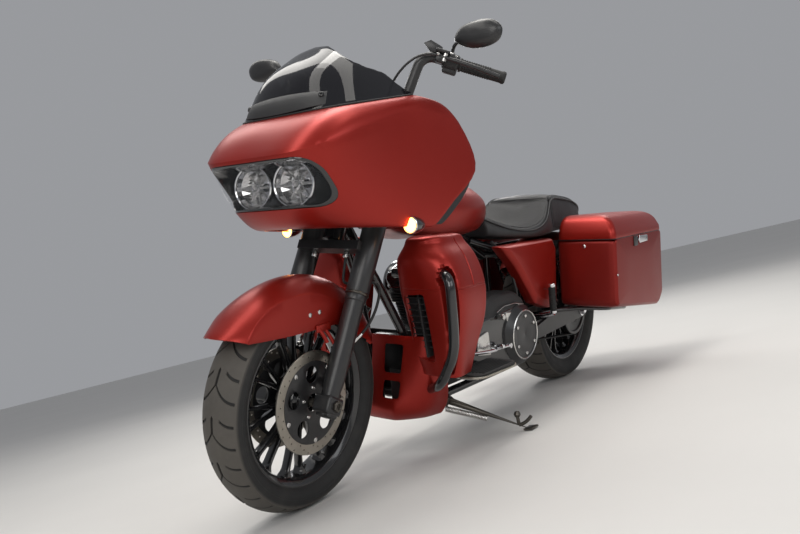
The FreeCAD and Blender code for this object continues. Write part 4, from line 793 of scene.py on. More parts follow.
def addWindshield():
    foot = halfPlan(3, 30)
    rings = []
    for height, plan in (glass["middle"], glass["top"]):
        nearNose = (plan[1][0], -plan[1][1], 0)
        ring = spread(curveThrough([(*point, 0) for point in plan], 10, first=nearNose), 30)
        rings.append([Vector((point.x, point.y, height)) for point in ring])
    columns = []
    for points in zip(foot, *rings):
        kept = [points[0]]
        for point in curveThrough(points, 14)[1:]:
            if point.z >= between(glass["edge"], point.y):
                break
            kept.append(point)
        above = kept[-1] + Vector((0, 0, .01)) if len(kept) < 2 else kept[-1] * 2 - kept[-2]
        gap = between(glass["edge"], kept[-1].y) - kept[-1].z
        share = min(1, max(0, gap / (above.z - kept[-1].z)))
        kept.append(kept[-1].lerp(above, share))
        columns.append([point + Vector((0, 0, 1)) for point in spread(kept, glass["rows"] + 1)])
    shield = grid("windshield", [wholeRow([column[index] for column in columns])
                                 for index in range(glass["rows"] + 1)])
    tidyMesh(shield)
    facing(shield, (farAhead, 0, 1220), (-1, 0, 0))
    strip = vent(shield)
    screws = []
    for y in (-150, -78, 0, 78, 150):
        hit = shield.ray_cast((farAhead, y, 1168 + abs(y) * .06), (-1, 0, 0))
        screws.append(lathe("screw", ((-2, 2), (5, 2), (7, 4.5), (6, 7), (3, 8.5), (-2, 8.5)), 20, hit[1],
                            hit[2]))
    thicken(shield, glass["wall"])
    bevel(shield, 1.2, 2, 50)
    put(shield, "smoked", replaces=("windshield",))
    putAll("windshield screws", screws, "satinBlack")
    put(strip, "plastic")
    addGasket()


def vent(shield):
    # the black air vent along the foot of the windshield, arched over a slot
    rows = []
    for lift, stand in air["rows"]:
        row = []
        for index in range(air["columns"]):
            slope = index / (air["columns"] // 2) - 1
            y = air["half"] * slope
            slope = abs(slope)
            z = lift + slope ** 2 * air["rise"] + (1 - slope ** 2) * (lift - air["foot"]) * .5
            level = max(z, air["slotFrom"] + slope * 4)
            hit = shield.ray_cast((farAhead, y * (1 - .001 * (lift - air["foot"])), level), (-1, 0, 0))
            row.append(hit[1] + Vector((stand * (1 - slope ** 6), 0, z - level)))
        rows.append(row)
    return thicken(grid("windshield vent", rows), 2.5)


def addGasket():
    points = wholeRow(halfPlan(3, 40))
    put(pipe("windshield gasket", [point + Vector((0, 0, 1)) for point in points], 3.2, sides=3), "rubber")


signal = {"at": (556, 264, 803), "radius": 25, "length": 58}


def addSignals():
    shells, lensSet, rims = [], [], []
    for side in sides:
        centre = onSide(signal["at"], side)
        radius, length = signal["radius"], signal["length"]
        shells.append(lathe("cup", ((-length, 4), (-length * .97, 11), (-length * .7, radius * .8),
                                    (-length * .3, radius), (0, radius + 1.5), (3, radius + 1.5),
                                    (3, radius - 2), (-6, radius - 3), (-10, 1)), 48, centre, (1, 0, .03)))
        rims.append(lathe("edge", ((2, radius - 2.4), (4.5, radius - 2), (5, radius), (4, radius + 1.6),
                                   (1, radius + 1.8)), 48, centre, (1, 0, .03)))
        lensSet.append(lathe("lens", ((-4, .2), (9, .2), (8, radius * .45), (5, radius * .8),
                (1, radius - 2.6), (-4, radius - 2.6)), 48, centre, (1, 0, .03)))
        shells.append(rod("stalk", centre + Vector((-34, 0, 0)), centre + Vector((-34, -34 * side, 26)), 9,
                          1))
    putAll("turn signal cups", shells, "gloss", replaces=("turn_signals",))
    putAll("turn signal rims", rims, "bright")
    putAll("turn signal lenses", lensSet, "amber")


fairingSkin = addFairing()
addLamps(fairingSkin)
addShell(fairingSkin)
addWindshield()
addSignals()
print("fairing, lamps and windshield")


# Wheels: tyres with cut tread, cast rims, drilled discs

wheels = {"front": {"body": "front_wheel", "axle": frontAxle, "radius": 319, "half": 65, "bead": 241,
                    "beadHalf": 45},
          "rear": {"body": "rear_wheel", "axle": rearAxle, "radius": 327, "half": 90, "bead": 228.6,
                   "beadHalf": 70}}
tread = {"drop": 26, "depth": 4.9, "groove": 3.9, "wall": .7, "repeats": 16, "sweep": 46, "stem": 44,
         "shoulder": 24,
         "edge": 7, "perGap": 5}
cast = {"pairs": 9, "open": 8.5, "closed": 3.6, "hub": 50}


def steps(*marks):
    # positions between marks, with a steep wall at each mark
    found = []
    for low, high in zip(marks, marks[1:]):
        span = high - low - 2 * tread["wall"]
        found += [low + tread["wall"] + span * index / tread["perGap"]
                  for index in range(tread["perGap"] + 1)]
    return found


def addTyre(end):
    size = wheels[end]
    radius, half = size["radius"], size["half"]
    crown = (half ** 2 + tread["drop"] ** 2) / (2 * tread["drop"])
    period = math.tau * radius / tread["repeats"]
    groove, edge = tread["groove"], half - tread["edge"]
    arms = (0, period / 2)
    marks = (-groove, groove, tread["stem"], period / 2 - groove, period / 2 + groove, period - groove)
    around = steps(*marks)
    across = [0, *steps(groove, tread["shoulder"], edge, half - .5)[:-1]]
    across = sorted({-y for y in across} | set(across) | {-groove + .2, groove - .2})
    wallRows = [(y, radius - tread["drop"] - 4 - (radius - tread["drop"] - 4 - size["bead"]) * share)
                for y, share in ((half, .04), (half, .3), (half - .9, .33), (half - .9, .4),
                                 (half - 1, .43), (half - 4, .62), (half - 10, .8),
                                 (size["beadHalf"] + 4, .95), (size["beadHalf"], 1))]
    rows = [(-y, r, False) for y, r in reversed(wallRows)]
    rows += [(y, radius - crown + math.sqrt(crown ** 2 - y ** 2), True) for y in across]
    rows += [(y, r, False) for y, r in wallRows]
    rows.append((0, size["bead"] - 2, False))
    rows.append(rows[0])
    points = []
    for y, r, treaded in rows:
        reach = min(abs(y) / edge, 1)
        shift = tread["sweep"] * (1 - (1 - reach) ** 2)
        line = []
        for repeat in range(tread["repeats"]):
            for u in around:
                cutHere = treaded and ((abs(u - arms[0]) <= groove and abs(y) <= edge)
                        or (abs(u - arms[1]) <= groove and tread["shoulder"] < abs(y) <= edge + .1)
                        or (abs(y) <= groove - .1 and 0 <= u <= tread["stem"]))
                angle = (u - shift + repeat * period) / radius
                level = r - (tread["depth"] if cutHere else 0)
                line.append(size["axle"] + Vector((math.cos(angle) * level, y, math.sin(angle) * level)))
        points.append([*line, line[0]])
    body = tidyMesh(grid(f"{end} tyre", points))
    worn = body.data.attributes.new("worn", "FLOAT", "POINT")
    for index, vertex in enumerate(body.data.vertices):
        place = vertex.co - size["axle"]
        crownLevel = radius - crown + math.sqrt(max(0, crown ** 2 - place.y ** 2))
        onCrown = abs(place.y) < half - 1 and math.hypot(place.x, place.z) > crownLevel - 1
        worn.data[index].value = 1 if onCrown else 0
    put(body, "tyre", size["body"], replaces=(f"{end}_tyre",), smoothAngle=32)


def spoke(reach, depth, turned):
    # one cast arm from the hub to the rim, leaning by turned degrees at the rim
    sections = []
    for share, width, thick in ((0, 22, 1), (.12, 16, .85), (.4, 12, .66), (.75, 11, .6), (.9, 14, .66),
                                (1, 34, .9)):
        height = cast["hub"] - 6 + (reach - cast["hub"] + 6) * share
        lean = math.radians(cast["closed"] + (cast["open"] - cast["closed"]) * share ** .8) * turned
        centre = Vector((math.sin(lean) * height, 0, math.cos(lean) * height))
        side = Vector((math.cos(lean), 0, -math.sin(lean)))
        w, d = width / 2, depth * thick / 2
        ring = ((w, d * .7), (w * .55, d), (-w * .55, d), (-w, d * .7), (-w, -d * .7), (-w * .55, -d),
                (w * .55, -d), (w, -d * .7))
        sections.append([centre + side * a + Vector((0, b, 0)) for a, b in ring])
    return lofted("spoke", sections, 4)


def addRim(end):
    size = wheels[end]
    axle, bead, half = size["axle"], size["bead"], size["beadHalf"]
    inner = bead - 20
    barrel = lathe("barrel", ((-half - 3, bead + 6), (-half - 4, bead - 2), (-half + 1, bead - 9),
                              (-half + 5, inner + 4), (-half + 16, inner - 1), (0, inner - 3),
                              (half - 16, inner - 1), (half - 5, inner + 4), (half - 1, bead - 9),
                              (half + 4, bead - 2), (half + 3, bead + 6), (half - 2, bead + 4),
                              (half - 8, bead - 8), (0, bead - 12), (-half + 8, bead - 8),
                              (-half + 2, bead + 4)), 128, axle)
    bevel(barrel, 1.6, 2, 20)
    arms = joined("arms", spoke(inner, half * 1.05, 1), spoke(inner, half * 1.05, -1))
    arms.data.transform(Matrix.Translation(axle))
    arms = ringOf("arms", arms, cast["pairs"], axle, start=math.radians(10))
    hubHalf = 46 if end == "front" else 58
    hub = lathe("hub", ((-hubHalf, 16), (-hubHalf, 34), (-hubHalf + 4, 38), (-hubHalf + 10, 40),
                        (-hubHalf + 18, 50), (-14, 56), (14, 56), (hubHalf - 18, 50), (hubHalf - 10, 40),
                        (hubHalf - 4, 38), (hubHalf, 34), (hubHalf, 16)), 64, axle)
    bevel(hub, 1.2, 2, 20)
    valve = rod("valve", axle + Vector((0, 8, -inner + 1)), axle + Vector((0, 20, -inner + 28)), 3.2)
    put(joined(f"{end} rim", barrel, arms, hub, valve), "gloss", size["body"], replaces=(f"{end}_rim",),
        smoothAngle=32)


disc = {"front": 61, "radius": 150, "band": 32, "thick": 5, "hole": 2.5, "perRing": 14, "window": 25,
        "windowAt": 82,
        "windows": 5, "rivetAt": 112, "boltAt": 44, "rear": (-100.5, 146)}


def drilledBand(name, centre, radius):
    band, thick = disc["band"], disc["thick"]
    inner, outer, face = radius - band, radius, thick / 2
    ring = lathe(name, ((-face, inner), (-face, outer - .6), (-face + .6, outer), (face - .6, outer),
                        (face, outer - .6), (face, inner)), 120, centre)
    drills = []
    for row, at in enumerate((outer - 6, outer - 15, outer - 24)):
        for index in range(disc["perRing"]):
            angle = math.tau * (index + row / 3) / disc["perRing"]
            spot = Vector(centre) + Vector((math.cos(angle) * at, 0, math.sin(angle) * at))
            drills.append(rod("drill", spot - Vector((0, 6, 0)), spot + Vector((0, 6, 0)), disc["hole"], 0,
                              10))
    return cutBy(ring, joined("drills", *drills))


def carrier(name, centre, reach, thick=4.5):
    plate = lathe(name, ((-thick / 2, 26), (-thick / 2, reach), (thick / 2, reach), (thick / 2, 26)), 90,
                  centre)
    cutters = []
    for turned in roundTurns(disc["windows"], Vector(centre)):
        hole = rod("hole", Vector(centre) + Vector((0, -9, disc["windowAt"])),
                   Vector(centre) + Vector((0, 9, disc["windowAt"])), disc["window"], 0, 40)
        hole.data.transform(turned)
        cutters.append(hole)
    cutBy(plate, joined("holes", *cutters))
    return bevel(plate, .8, 2, 40)


def studs(name, centre, at, radius, height, count, side, start=0):
    cap = lathe(name, ((0, .5), (height, .5), (height, radius * .3), (height * .8, radius * .45),
                       (height, radius * .55), (height * .9, radius * .8), (height * .5, radius),
                       (0, radius)), 20, Vector(centre) + Vector((0, 0, at)), (0, side, 0))
    return ringOf(name, cap, count, centre, start=start)


def addDiscs():
    bands, plates, caps = [], [], []
    for side in sides:
        centre = frontAxle + Vector((0, disc["front"] * side, 0))
        bands.append(drilledBand("disc", centre, disc["radius"]))
        plates.append(carrier("carrier", centre + Vector((0, 1.5 * side, 0)),
                              disc["radius"] - disc["band"] + 2))
        face = centre + Vector((0, 3.5 * side, 0))
        caps.append(studs("rivet", face, disc["rivetAt"], 7.5, 2.2, 5, side, math.pi / 5))
        caps.append(studs("bolt", face, disc["boltAt"], 6, 4.5, 5, side, 0))
    putAll("front disc bands", bands, "steel", "front_wheel", replaces=("front_discs",))
    putAll("front disc carriers", plates, "satinBlack", "front_wheel")
    putAll("front disc bolts", caps, "bright", "front_wheel", slot="steel")
    level, radius = disc["rear"]
    centre = rearAxle + Vector((0, level, 0))
    put(drilledBand("rear disc", centre, radius), "steel", "rear_wheel", replaces=("rear_disc_and_pulley",))
    put(joined("rear disc carrier", carrier("plate", centre, radius - disc["band"] + 2),
               lathe("boss", ((0, 20), (0, 44), (42, 44), (46, 40), (46, 20)), 48, centre)), "satinBlack",
        "rear_wheel")
    pulley = lathe("pulley", ((0, 60), (0, 113), (2, 113), (2, 107), (23, 107), (23, 113), (25, 113),
                              (25, 100), (18, 96), (18, 60)), 96, rearAxle + Vector((0, 98, 0)))
    tooth = block("tooth", rearAxle + Vector((0, 110.5, 108)), (4.4, 20, 3.4), .8, 1)
    web = carrier("web", rearAxle + Vector((0, 110, 0)), 100, 10)
    put(joined("rear pulley", bevel(pulley, .8, 2, 30), ringOf("teeth", tooth, 68, rearAxle), web),
        "satinBlack", "rear_wheel")
    put(joined("rear pulley bolts", studs("bolt", rearAxle + Vector((0, 116, 0)), 44, 6.5, 5, 5, 1)),
        "bright", "rear_wheel", slot="steel")


for wheelEnd in wheels:
    addTyre(wheelEnd)
    addRim(wheelEnd)
addDiscs()
print("wheels, tyres and discs")


# Front end: fender, fork, calipers, hoses, grips and mirrors

fender = {"tipRound": 2.5, "half": 82, "crown": 367, "from": 39, "to": 156, "step": 3, "wall": 3.2,
          "flare": ((39, 13), (45, 7), (55, 3), (75, 0), (156, 0)),
          "crease": ((39, 344), (45, 346), (50, 348), (60, 343), (75, 331), (90, 318), (110, 303),
                     (156, 296)),
          "edgeHeight": 531, "bendX": 712, "fall": .521, "rivets": ((827, 577), (787, 579))}


def fenderReach(angle):
    # radius of the fender's lower edge at this angle about the axle
    across, rise = math.cos(angle), math.sin(angle)
    level = (fender["edgeHeight"] - frontAxle.z) / rise
    if frontAxle.x + level * across > fender["bendX"]:
        return level
    offset = fender["edgeHeight"] - frontAxle.z + fender["fall"] * (frontAxle.x - fender["bendX"])
    return offset / (rise - fender["fall"] * across)


def addFrontFender():
    rows = []
    for degrees in range(fender["from"], fender["to"] + 1, fender["step"]):
        angle = math.radians(degrees)
        top = fender["crown"] + between(fender["flare"], degrees)
        crease = min(between(fender["crease"], degrees), top - 6)
        low = min(fenderReach(angle), crease - 2)
        half = fender["half"]
        section = [(half - 1, low), (half, low + (crease - low) * .3), (half, low + (crease - low) * .7),
                   (half - 1.5, crease - 3)]
        for index in range(14):
            y = (half - 3) * math.cos(index / 13 * math.pi / 2)
            share = y / (half - 3)
            section.append((y, crease + (top - crease) * (1 - share ** 2.3)))
        whole = section + [(-y, r) for y, r in reversed(section[:-1])]
        row = []
        for y, r in whole:
            # the tip's corners lie further back than its middle
            share = (fender["to"] - degrees) / (fender["to"] - fender["from"])
            turned = angle + math.radians(fender["tipRound"] * share ** 3 * (y / half) ** 2)
            row.append(frontAxle + Vector((math.cos(turned) * r, y, math.sin(turned) * r)))
        rows.append(row)
    skin = tidyMesh(grid("front fender", rows), outward=False)
    facing(skin, (frontAxle.x, 0, 1200), (0, 0, -1))
    thicken(skin, fender["wall"])
    bevel(skin, 1.2, 2, 60)
    put(skin, "red", "steering", replaces=("front_fender",), smoothAngle=24)
    caps = []
    for side in sides:
        for x, z in fender["rivets"]:
            caps.append(lathe("rivet", ((-1, .5), (4.2, .5), (3.8, 4), (2.4, 6.6), (-1, 7.4)), 20,
                              (x, side * (fender["half"] - .2), z), (0, side, 0)))
    putAll("front fender rivets", caps, "bright", "steering")
    struts = []
    for side in sides:
        for x, z in ((800, 540), (770, 530)):
            struts.append(pipe("strut", ((x, side * 79, z), (x - 16, side * 88, z - 22),
                    (x - 24, side * 96, z - 50)), 6, sides=3))
        struts.append(block("plate", (775, side * 84, 532), (62, 6, 22), 2.5))
    putAll("front fender brackets", struts, "red", "steering")


fork = {"side": 118, "tube": 25, "slider": 30, "sliderEnd": 331, "cover": 36, "coverEnd": 560,
        "clampLength": 62}


def addFork():
    sliders, rings, tubes = [], [], []
    up = tuple(forkUp)
    r, top, end = fork["slider"], fork["sliderEnd"], fork["coverEnd"]
    for side in sides:
        foot = onFork(0, 0, fork["side"] * side)
        sliders.append(bevel(lathe("slider", ((-36, 6), (-36, 20), (-30, 25), (40, 27), (70, r),
                (top - 22, r), (top - 20, r + 2.5), (top, r + 2.5), (top, 20)), 56, foot, up), 1.5, 2, 25))
        rings.append(bevel(lathe("ring", ((top - 2, 24), (top - 2, r + 5), (top + 2, r + 6.5),
                (top + 6, r + 5), (top + 6, 24)), 56, foot, up), .8, 2, 25))
        tubes.append(bevel(lathe("cover", ((top + 6, 26), (top + 6, fork["cover"] - 1),
                (end, fork["cover"]), (end, 26)), 56, foot, up), 1, 2, 25))
        tubes.append(lathe("tube", ((end - 4, 5), (end - 4, fork["tube"]), (742, fork["tube"]),
                                    (748, fork["tube"] - 4), (748, 5)), 48, foot, up))
        slope = Matrix.Rotation(math.radians(-bike["forkRake"]), 4, "Y")
        centre = Vector((frontAxle.x, fork["side"] * side, frontAxle.z))
        clamp = block("axle clamp", centre, (66, fork["clampLength"], 50), 9, 4, slope)
        lip = block("clamp lip", centre + forkUp * -26 + Vector((0, side * 4, 0)),
                    (44, fork["clampLength"] - 16, 16), 4, 3, slope)
        cap = bevel(lathe("axle end", ((0, 4), (0, 17), (8, 17), (10, 15), (10, 9), (4, 8), (4, 4)), 6,
                          centre + Vector((0, 31 * side, 0)), (0, side, 0)), .8, 2, 25)
        sliders += [clamp, lip]
        rings.append(cap)
        for along in (-14, 16):
            spot = centre + forkUp * along + Vector((-34, side * 8, 0))
            rings.append(lathe("pinch bolt", ((0, 1), (6, 1), (6, 3), (5, 6), (0, 6)), 16, spot,
                               (-1, 0, 0)))
    axle = rod("front axle", frontAxle - Vector((0, 140, 0)), frontAxle + Vector((0, 140, 0)), 12)
    putAll("fork sliders", sliders, "satinBlack", "steering", replaces=("fork_legs",))
    putAll("fork covers", tubes, "satinBlack", "steering")
    put(joined("fork fittings", axle, *rings), "darkSteel", "steering")


caliper = {"near": 36, "far": 92, "low": 46, "high": 170, "inner": 70, "outer": 106}
hose = {"radius": 4.4, "yoke": 834,
        "points": ((214, 66, 108), (250, 84, 122), (330, 92, 136), (410, 78, 132))}


def addCalipers():
    bodies, bolts, hoses, unions = [], [], [], []
    low, high, near, far = (caliper[key] for key in ("low", "high", "near", "far"))
    for side in sides:
        outline = ((low - 6, near + 6), (low - 4, far - 16), (low + 16, far), (high - 24, far + 4),
                   (high, far - 12), (high + 6, near + 8), (high - 22, near - 8), (low + 18, near - 8))
        for inner, outer in ((caliper["inner"], caliper["outer"] - 20), (46, 57)):
            plan = roundedPlan(outline, 12, 4)
            points = [onFork(p.x, p.y, side * inner) for p in plan]
            bodies.append(outlined("half", points, (0, side * (outer - inner), 0), 4, 3))
        plan = ((low + 80, far), (low + 84, far + 8), (high - 22, far + 9), (high - 14, far - 6))
        points = [onFork(p.x, p.y, side * 50) for p in roundedPlan(plan, 4, 3)]
        bodies.append(outlined("bridge", points, (0, side * 34, 0), 3, 2))
        for along in (low + 32, (low + high) / 2, high - 32):
            spot = onFork(along, (near + far) / 2 + 2, side * (caliper["outer"] - 21))
            boss = lathe("piston boss", ((0, 4), (0, 19), (4, 18), (6, 12), (6, 4)), 36, spot, (0, side, 0))
            bodies.append(bevel(boss, 1, 2, 25))
        for along, rear in ((low + 22, near + 4), (high - 18, near + 2)):
            spot = onFork(along, rear - 6, side * caliper["outer"])
            lug = lathe("lug", ((-26, 5), (-26, 13), (0, 13), (0, 5)), 32, spot, (0, side, 0))
            bodies.append(bevel(lug, 2, 2, 25))
            bolt = lathe("caliper bolt", ((0, 4.2), (-4, 4), (-4, .5), (7, .5), (9, 4), (8, 5), (9, 6),
                    (8.5, 10.5), (0, 11)), 30, spot, (0, side, 0))
            bolts.append(bevel(bolt, .6, 2, 25))
        route = [onFork(along, rear, side * y) for along, rear, y in hose["points"]]
        route += [onSteering(hose["yoke"] - drop, fore, 62 * side)
                  for drop, fore in ((120, -22), (70, -10), (20, -2))]
        unions.append(rod("hose block", route[-1] - steerUp * 14, route[-1] + steerUp * 6, 9, 1.5, 6))
        hoses.append(pipe("hose", route, hose["radius"], sides=4))
        start, second = route[0], route[1]
        unions.append(rod("union", start - (second - start).normalized() * 26,
                          start + (second - start).normalized() * 6, 6.5, 1, 6))
        unions.append(rod("ferrule", start, start + (second - start).normalized() * 22, 5.6, 1, 24))
        banjo = lathe("banjo", ((-6, 3), (-6, 10), (6, 10), (6, 3)), 30,
                      onFork(high + 4, near + 16, side * 94), (0, side, 0))
        unions.append(bevel(banjo, 1, 2, 25))
        unions.append(pipe("neck", (onFork(high + 4, near + 16, side * 94),
                                    onFork(high + 20, near + 22, side * 98), start), 4.6, sides=4))
    putAll("front caliper bodies", bodies, "gloss", "steering", replaces=("front_calipers",))
    putAll("front caliper bolts", bolts, "bright", "steering")
    putAll("brake hoses", hoses, "rubber", "steering")
    putAll("brake hose fittings", unions, "bright", "steering", slot="steel")


bars = {"elbow": (432, 235, 1322), "end": (308, 445, 1239), "gripFrom": 118, "grip": 17.5}


def addControls():
    dark, shiny, soft, plastic = [], [], [], []
    for side in sides:
        elbow = onSide(bars["elbow"], side)
        end = onSide(bars["end"], side)
        along = (end - elbow).normalized()
        start = elbow + along * bars["gripFrom"]
        fore = (along * side).cross(Vector((0, 0, 1))).normalized()
        rising = fore.cross(along * side).normalized()
        frameOf = Matrix((along, fore, rising)).transposed().to_4x4()

        def at(a, f, r):
            return start + along * a + fore * f + rising * r

        r = bars["grip"]
        length = (end - start).length
        soft.append(bevel(lathe("grip", ((-2, 13), (-2, r + 3), (4, r + 3.5), (7, r), (length - 10, r),
                (length - 6, r + 1.5), (length + 1, r + 1), (length + 4, r - 4), (length + 4, 3),
                (length, 3)), 48, start, tuple(along)), .8, 2, 25))
        knob = block("knurl", (0, 0, 0), (4.6, 5.4, 2.4), 1, 1)
        knobs = []
        for row in range(12):
            for column in range(14):
                angle = math.tau * (column + row % 2 / 2) / 14
                place = Matrix.Translation(start + along * (12 + row * 7.2)) @ frameOf
                place = place @ Matrix.Rotation(angle, 4, "X")
                knobs.append(copyOf(knob, place @ Matrix.Translation((0, 0, r))))
        bpy.data.objects.remove(knob)
        soft.append(joined("knurls", *knobs))
        plastic.append(bevel(lathe("switch housing", ((-52, 13.5), (-52, 22), (-46, 25.5), (-9, 25.5),
                (-4, 22), (-4, 13.5)), 56, start, tuple(along)), 1.5, 3, 25))
        plastic.append(block("switch box", at(-26, -4, -22), (44, 30, 26), 6, 3, frameOf))
        for a in (-38, -26, -14):
            plastic.append(block("button", at(a, -22, -6), (8, 7, 9), 2, 2, frameOf))
        dark.append(block("perch", at(-62, 16, 0), (30, 34, 30), 7, 3, frameOf))
        dark.append(block("reservoir" if side < 0 else "perch cover", at(-58, 30, 18),
                          (62 if side < 0 else 44, 36, 20 if side < 0 else 10), 5, 3, frameOf))
        lever = [at(-52, 38, 2), at(-20, 48, 0), at(30, 54, -2), at(76, 50, -4), at(112, 42, -6),
                 at(122, 40, -6)]
        dark.append(pipe("lever", lever, 6.4, sides=5))
        shiny.append(lathe("lever pivot", ((-12, 1), (12, 1), (13, 4), (12, 7), (-12, 7)), 24,
                           at(-48, 38, 2), tuple(rising)))
        for a in (-70, -50):
            shiny.append(lathe("perch bolt", ((0, 1), (4, 1), (5, 3), (4, 4.5), (0, 4.8)), 20,
                               at(a, 34, 8), tuple(fore)))
        for a in (-40, -16):
            shiny.append(lathe("cover screw", ((0, 1), (2, 1), (2.4, 2), (1.6, 3.6), (0, 4)), 16,
                               at(a, 17, 17), tuple((fore + rising).normalized())))
        if side > 0:
            plate = ((-96, 10), (-60, 14), (-64, 34), (-104, 44), (-122, 30))
            bracket = outlined("clutch bracket", [at(a, 10, rise) for a, rise in plate], tuple(fore * 6),
                               1.2, 2)
            dark.append(bracket)
            dark.append(pipe("clutch cable", [at(-62, 30, 4), at(-110, 34, 6), at(-170, 10, -60),
                    at(-190, -10, -150), at(-170, -40, -260)], 4, sides=4))
        addMirror(side, at(-30, 4, 22), dark, shiny)
    putAll("hand grips", soft, "rubber", "steering", replaces=("hand_controls",))
    putAll("switch housings", plastic, "plastic", "steering")
    putAll("levers and perches", dark, "satinBlack", "steering", replaces=("mirrors",))
    putAll("control screws", shiny, "bright", "steering")


mirror = {"at": (439, 420, 1353),
          "outline": ((-72, -8), (-56, 22), (0, 38), (54, 32), (78, 8), (70, -22), (30, -38), (-30, -34))}


def addMirror(side, foot, dark, shiny):
    centre = onSide(mirror["at"], side)
    corners = [Vector((y * side, z, 0)) for y, z in mirror["outline"]]
    if side < 0:
        corners.reverse()
    plan = curveThrough([*corners, corners[0]], 6, first=corners[-1], last=corners[1])[:-1]
    rings = []
    for x, share in ((-14, .9), (-16, .98), (-13, 1), (-4, .99), (6, .86), (12, .62), (15, .3)):
        rings.append([centre + Vector((x, point.x * share, point.y * share)) for point in plan])
    dark.append(lofted(f"mirror shell {side}", rings, 2))
    face = [[centre + Vector((-16.4, point.x * share, point.y * share)) for point in plan]
            for share in (.88, .6, .3, 0)]
    glassPane = tidyMesh(grid(f"mirror glass {side}", [[*row, row[0]] for row in face]), outward=False)
    thicken(glassPane, 1.2)
    put(tidyMesh(glassPane), "mirror", "steering")
    dark.append(pipe("mirror stem", [foot, foot + Vector((4, 4 * side, 26)),
            foot.lerp(centre, .55) + Vector((14, 0, 8)), centre + Vector((10, -14 * side, -10)),
            centre + Vector((4, -4 * side, 0))], 5.4, sides=5))
    shiny.append(lathe("stem nut", ((-8, 3), (-8, 9), (4, 9), (6, 7), (6, 3)), 6, foot, (0, 0, 1)))
    dark.append(lathe("stem foot", ((-16, 3), (-16, 12), (-6, 13), (-4, 10), (-4, 3)), 32, foot, (0, 0, 1)))


addFrontFender()
addFork()
addCalipers()
addControls()
print("front end")


# Leg shields, engine guard, chin and oil cooler

# rings: height, inner front x y, outer front x y, side x y, rear x y
shield = {"rings": ((322, 398, 132, 440, 250, 424, 304, 342, 300),
                    (400, 410, 128, 448, 256, 432, 314, 318, 312),
                    (500, 424, 122, 456, 258, 438, 324, 280, 326),
                    (600, 444, 116, 464, 254, 440, 322, 266, 324),
                    (690, 456, 122, 466, 226, 430, 292, 262, 290),
                    (736, 440, 142, 452, 206, 408, 254, 266, 254)),
          "crown": ((754, .9), (761, .72), (763, .4)), "wall": 4, "seamHeight": 598, "seamShare": .86,
          "columns": 72,
          "window": ((146, 376), (240, 366), (222, 584), (134, 578)), "trench": 27}
guard = {"points": ((398, 60, 642), (404, 228, 652), (452, 316, 640), (454, 322, 500), (458, 322, 404),
                    (450, 258, 300), (352, 108, 236)),
         "radius": 16}


def guardLine(side):
    line = []
    points = [onSide(point, side) for point in guard["points"]]
    for before, corner, after in zip(points, points[1:], points[2:]):
        reach = min(46, .45 * (corner - before).length, .45 * (after - corner).length)
        start = corner + (before - corner).normalized() * reach
        end = corner + (after - corner).normalized() * reach
        for step in range(9):
            t = step / 8
            line.append(start * (1 - t) ** 2 + corner * 2 * t * (1 - t) + end * t ** 2)
    return [points[0], *line, points[-1]]


def addShield(side):
    rings = []
    for z, xIn, yIn, xOut, yOut, xSide, ySide, xRear, yRear in shield["rings"]:
        plan = ((xRear + 30, yIn + 6, z), (xIn - 40, yIn + 2, z), (xIn, yIn, z), (xOut, yOut, z),
                (xSide, ySide, z), (xRear, yRear, z))
        rings.append(spread(curveThrough(plan, 12), 301))
    last = rings[-1]
    middle = sum(last, Vector()) / len(last)
    for z, share in shield["crown"]:
        rings.append([Vector((*(middle + (p - middle) * share).xy, z)) for p in last])
    shares = [index / shield["columns"] for index in range(shield["columns"] + 1)]
    seam = shield["seamShare"]
    shares = [share for share in shares if abs(share - seam) > .012]
    shares = sorted(shares + [seam + apart for apart in (-.009, -.005, .005, .009)])
    columns = []
    for share in shares:
        column = curveThrough([ring[round(share * 300)] for ring in rings], 16)
        low = [point for point in column if point.z < shield["seamHeight"] - 3.2]
        marks = []
        for z in (-3, -1.4, 1.4, 3):
            level = shield["seamHeight"] + z
            after = next(index for index, point in enumerate(column) if point.z > level)
            a, b = column[after - 1], column[after]
            marks.append(a.lerp(b, (level - a.z) / (b.z - a.z)))
        above = [point for point in column if point.z > shield["seamHeight"] + 3.2]
        columns.append(low + marks + above)
    count = min(len(column) for column in columns)
    line = spread(guardLine(1), 160)
    for share, column in zip(shares, columns):
        for point in column:
            upright = abs(share - seam) < .006 and shield["seamHeight"] < point.z < 748
            if upright or abs(point.z - shield["seamHeight"]) < 2:
                point += Vector((-1.2, -1.8 if share > .5 else 0, 0))
            near = min(line, key=lambda spot: (spot.y - point.y) ** 2 + (spot.z - point.z) ** 2)
            apart = math.hypot(near.y - point.y, near.z - point.z)
            if near.y > 282 and apart < shield["trench"]:
                point.x = min(point.x, near.x - math.sqrt(shield["trench"] ** 2 - apart ** 2))
    rows = [[onSide(column[index], side) for column in columns] for index in range(count)]
    skin = tidyMesh(grid(f"leg shield {side}", rows), outward=False)
    facing(skin, (900, 215 * side, 440), (-1, 0, 0))
    thicken(skin, shield["wall"])
    plan = roundedPlan([(y * side, z) for y, z in shield["window"]], 12, 5)
    cutBy(skin, slab("window", plan, 0, 374, 160, 0))
    return bevel(skin, 1.2, 2, 50)


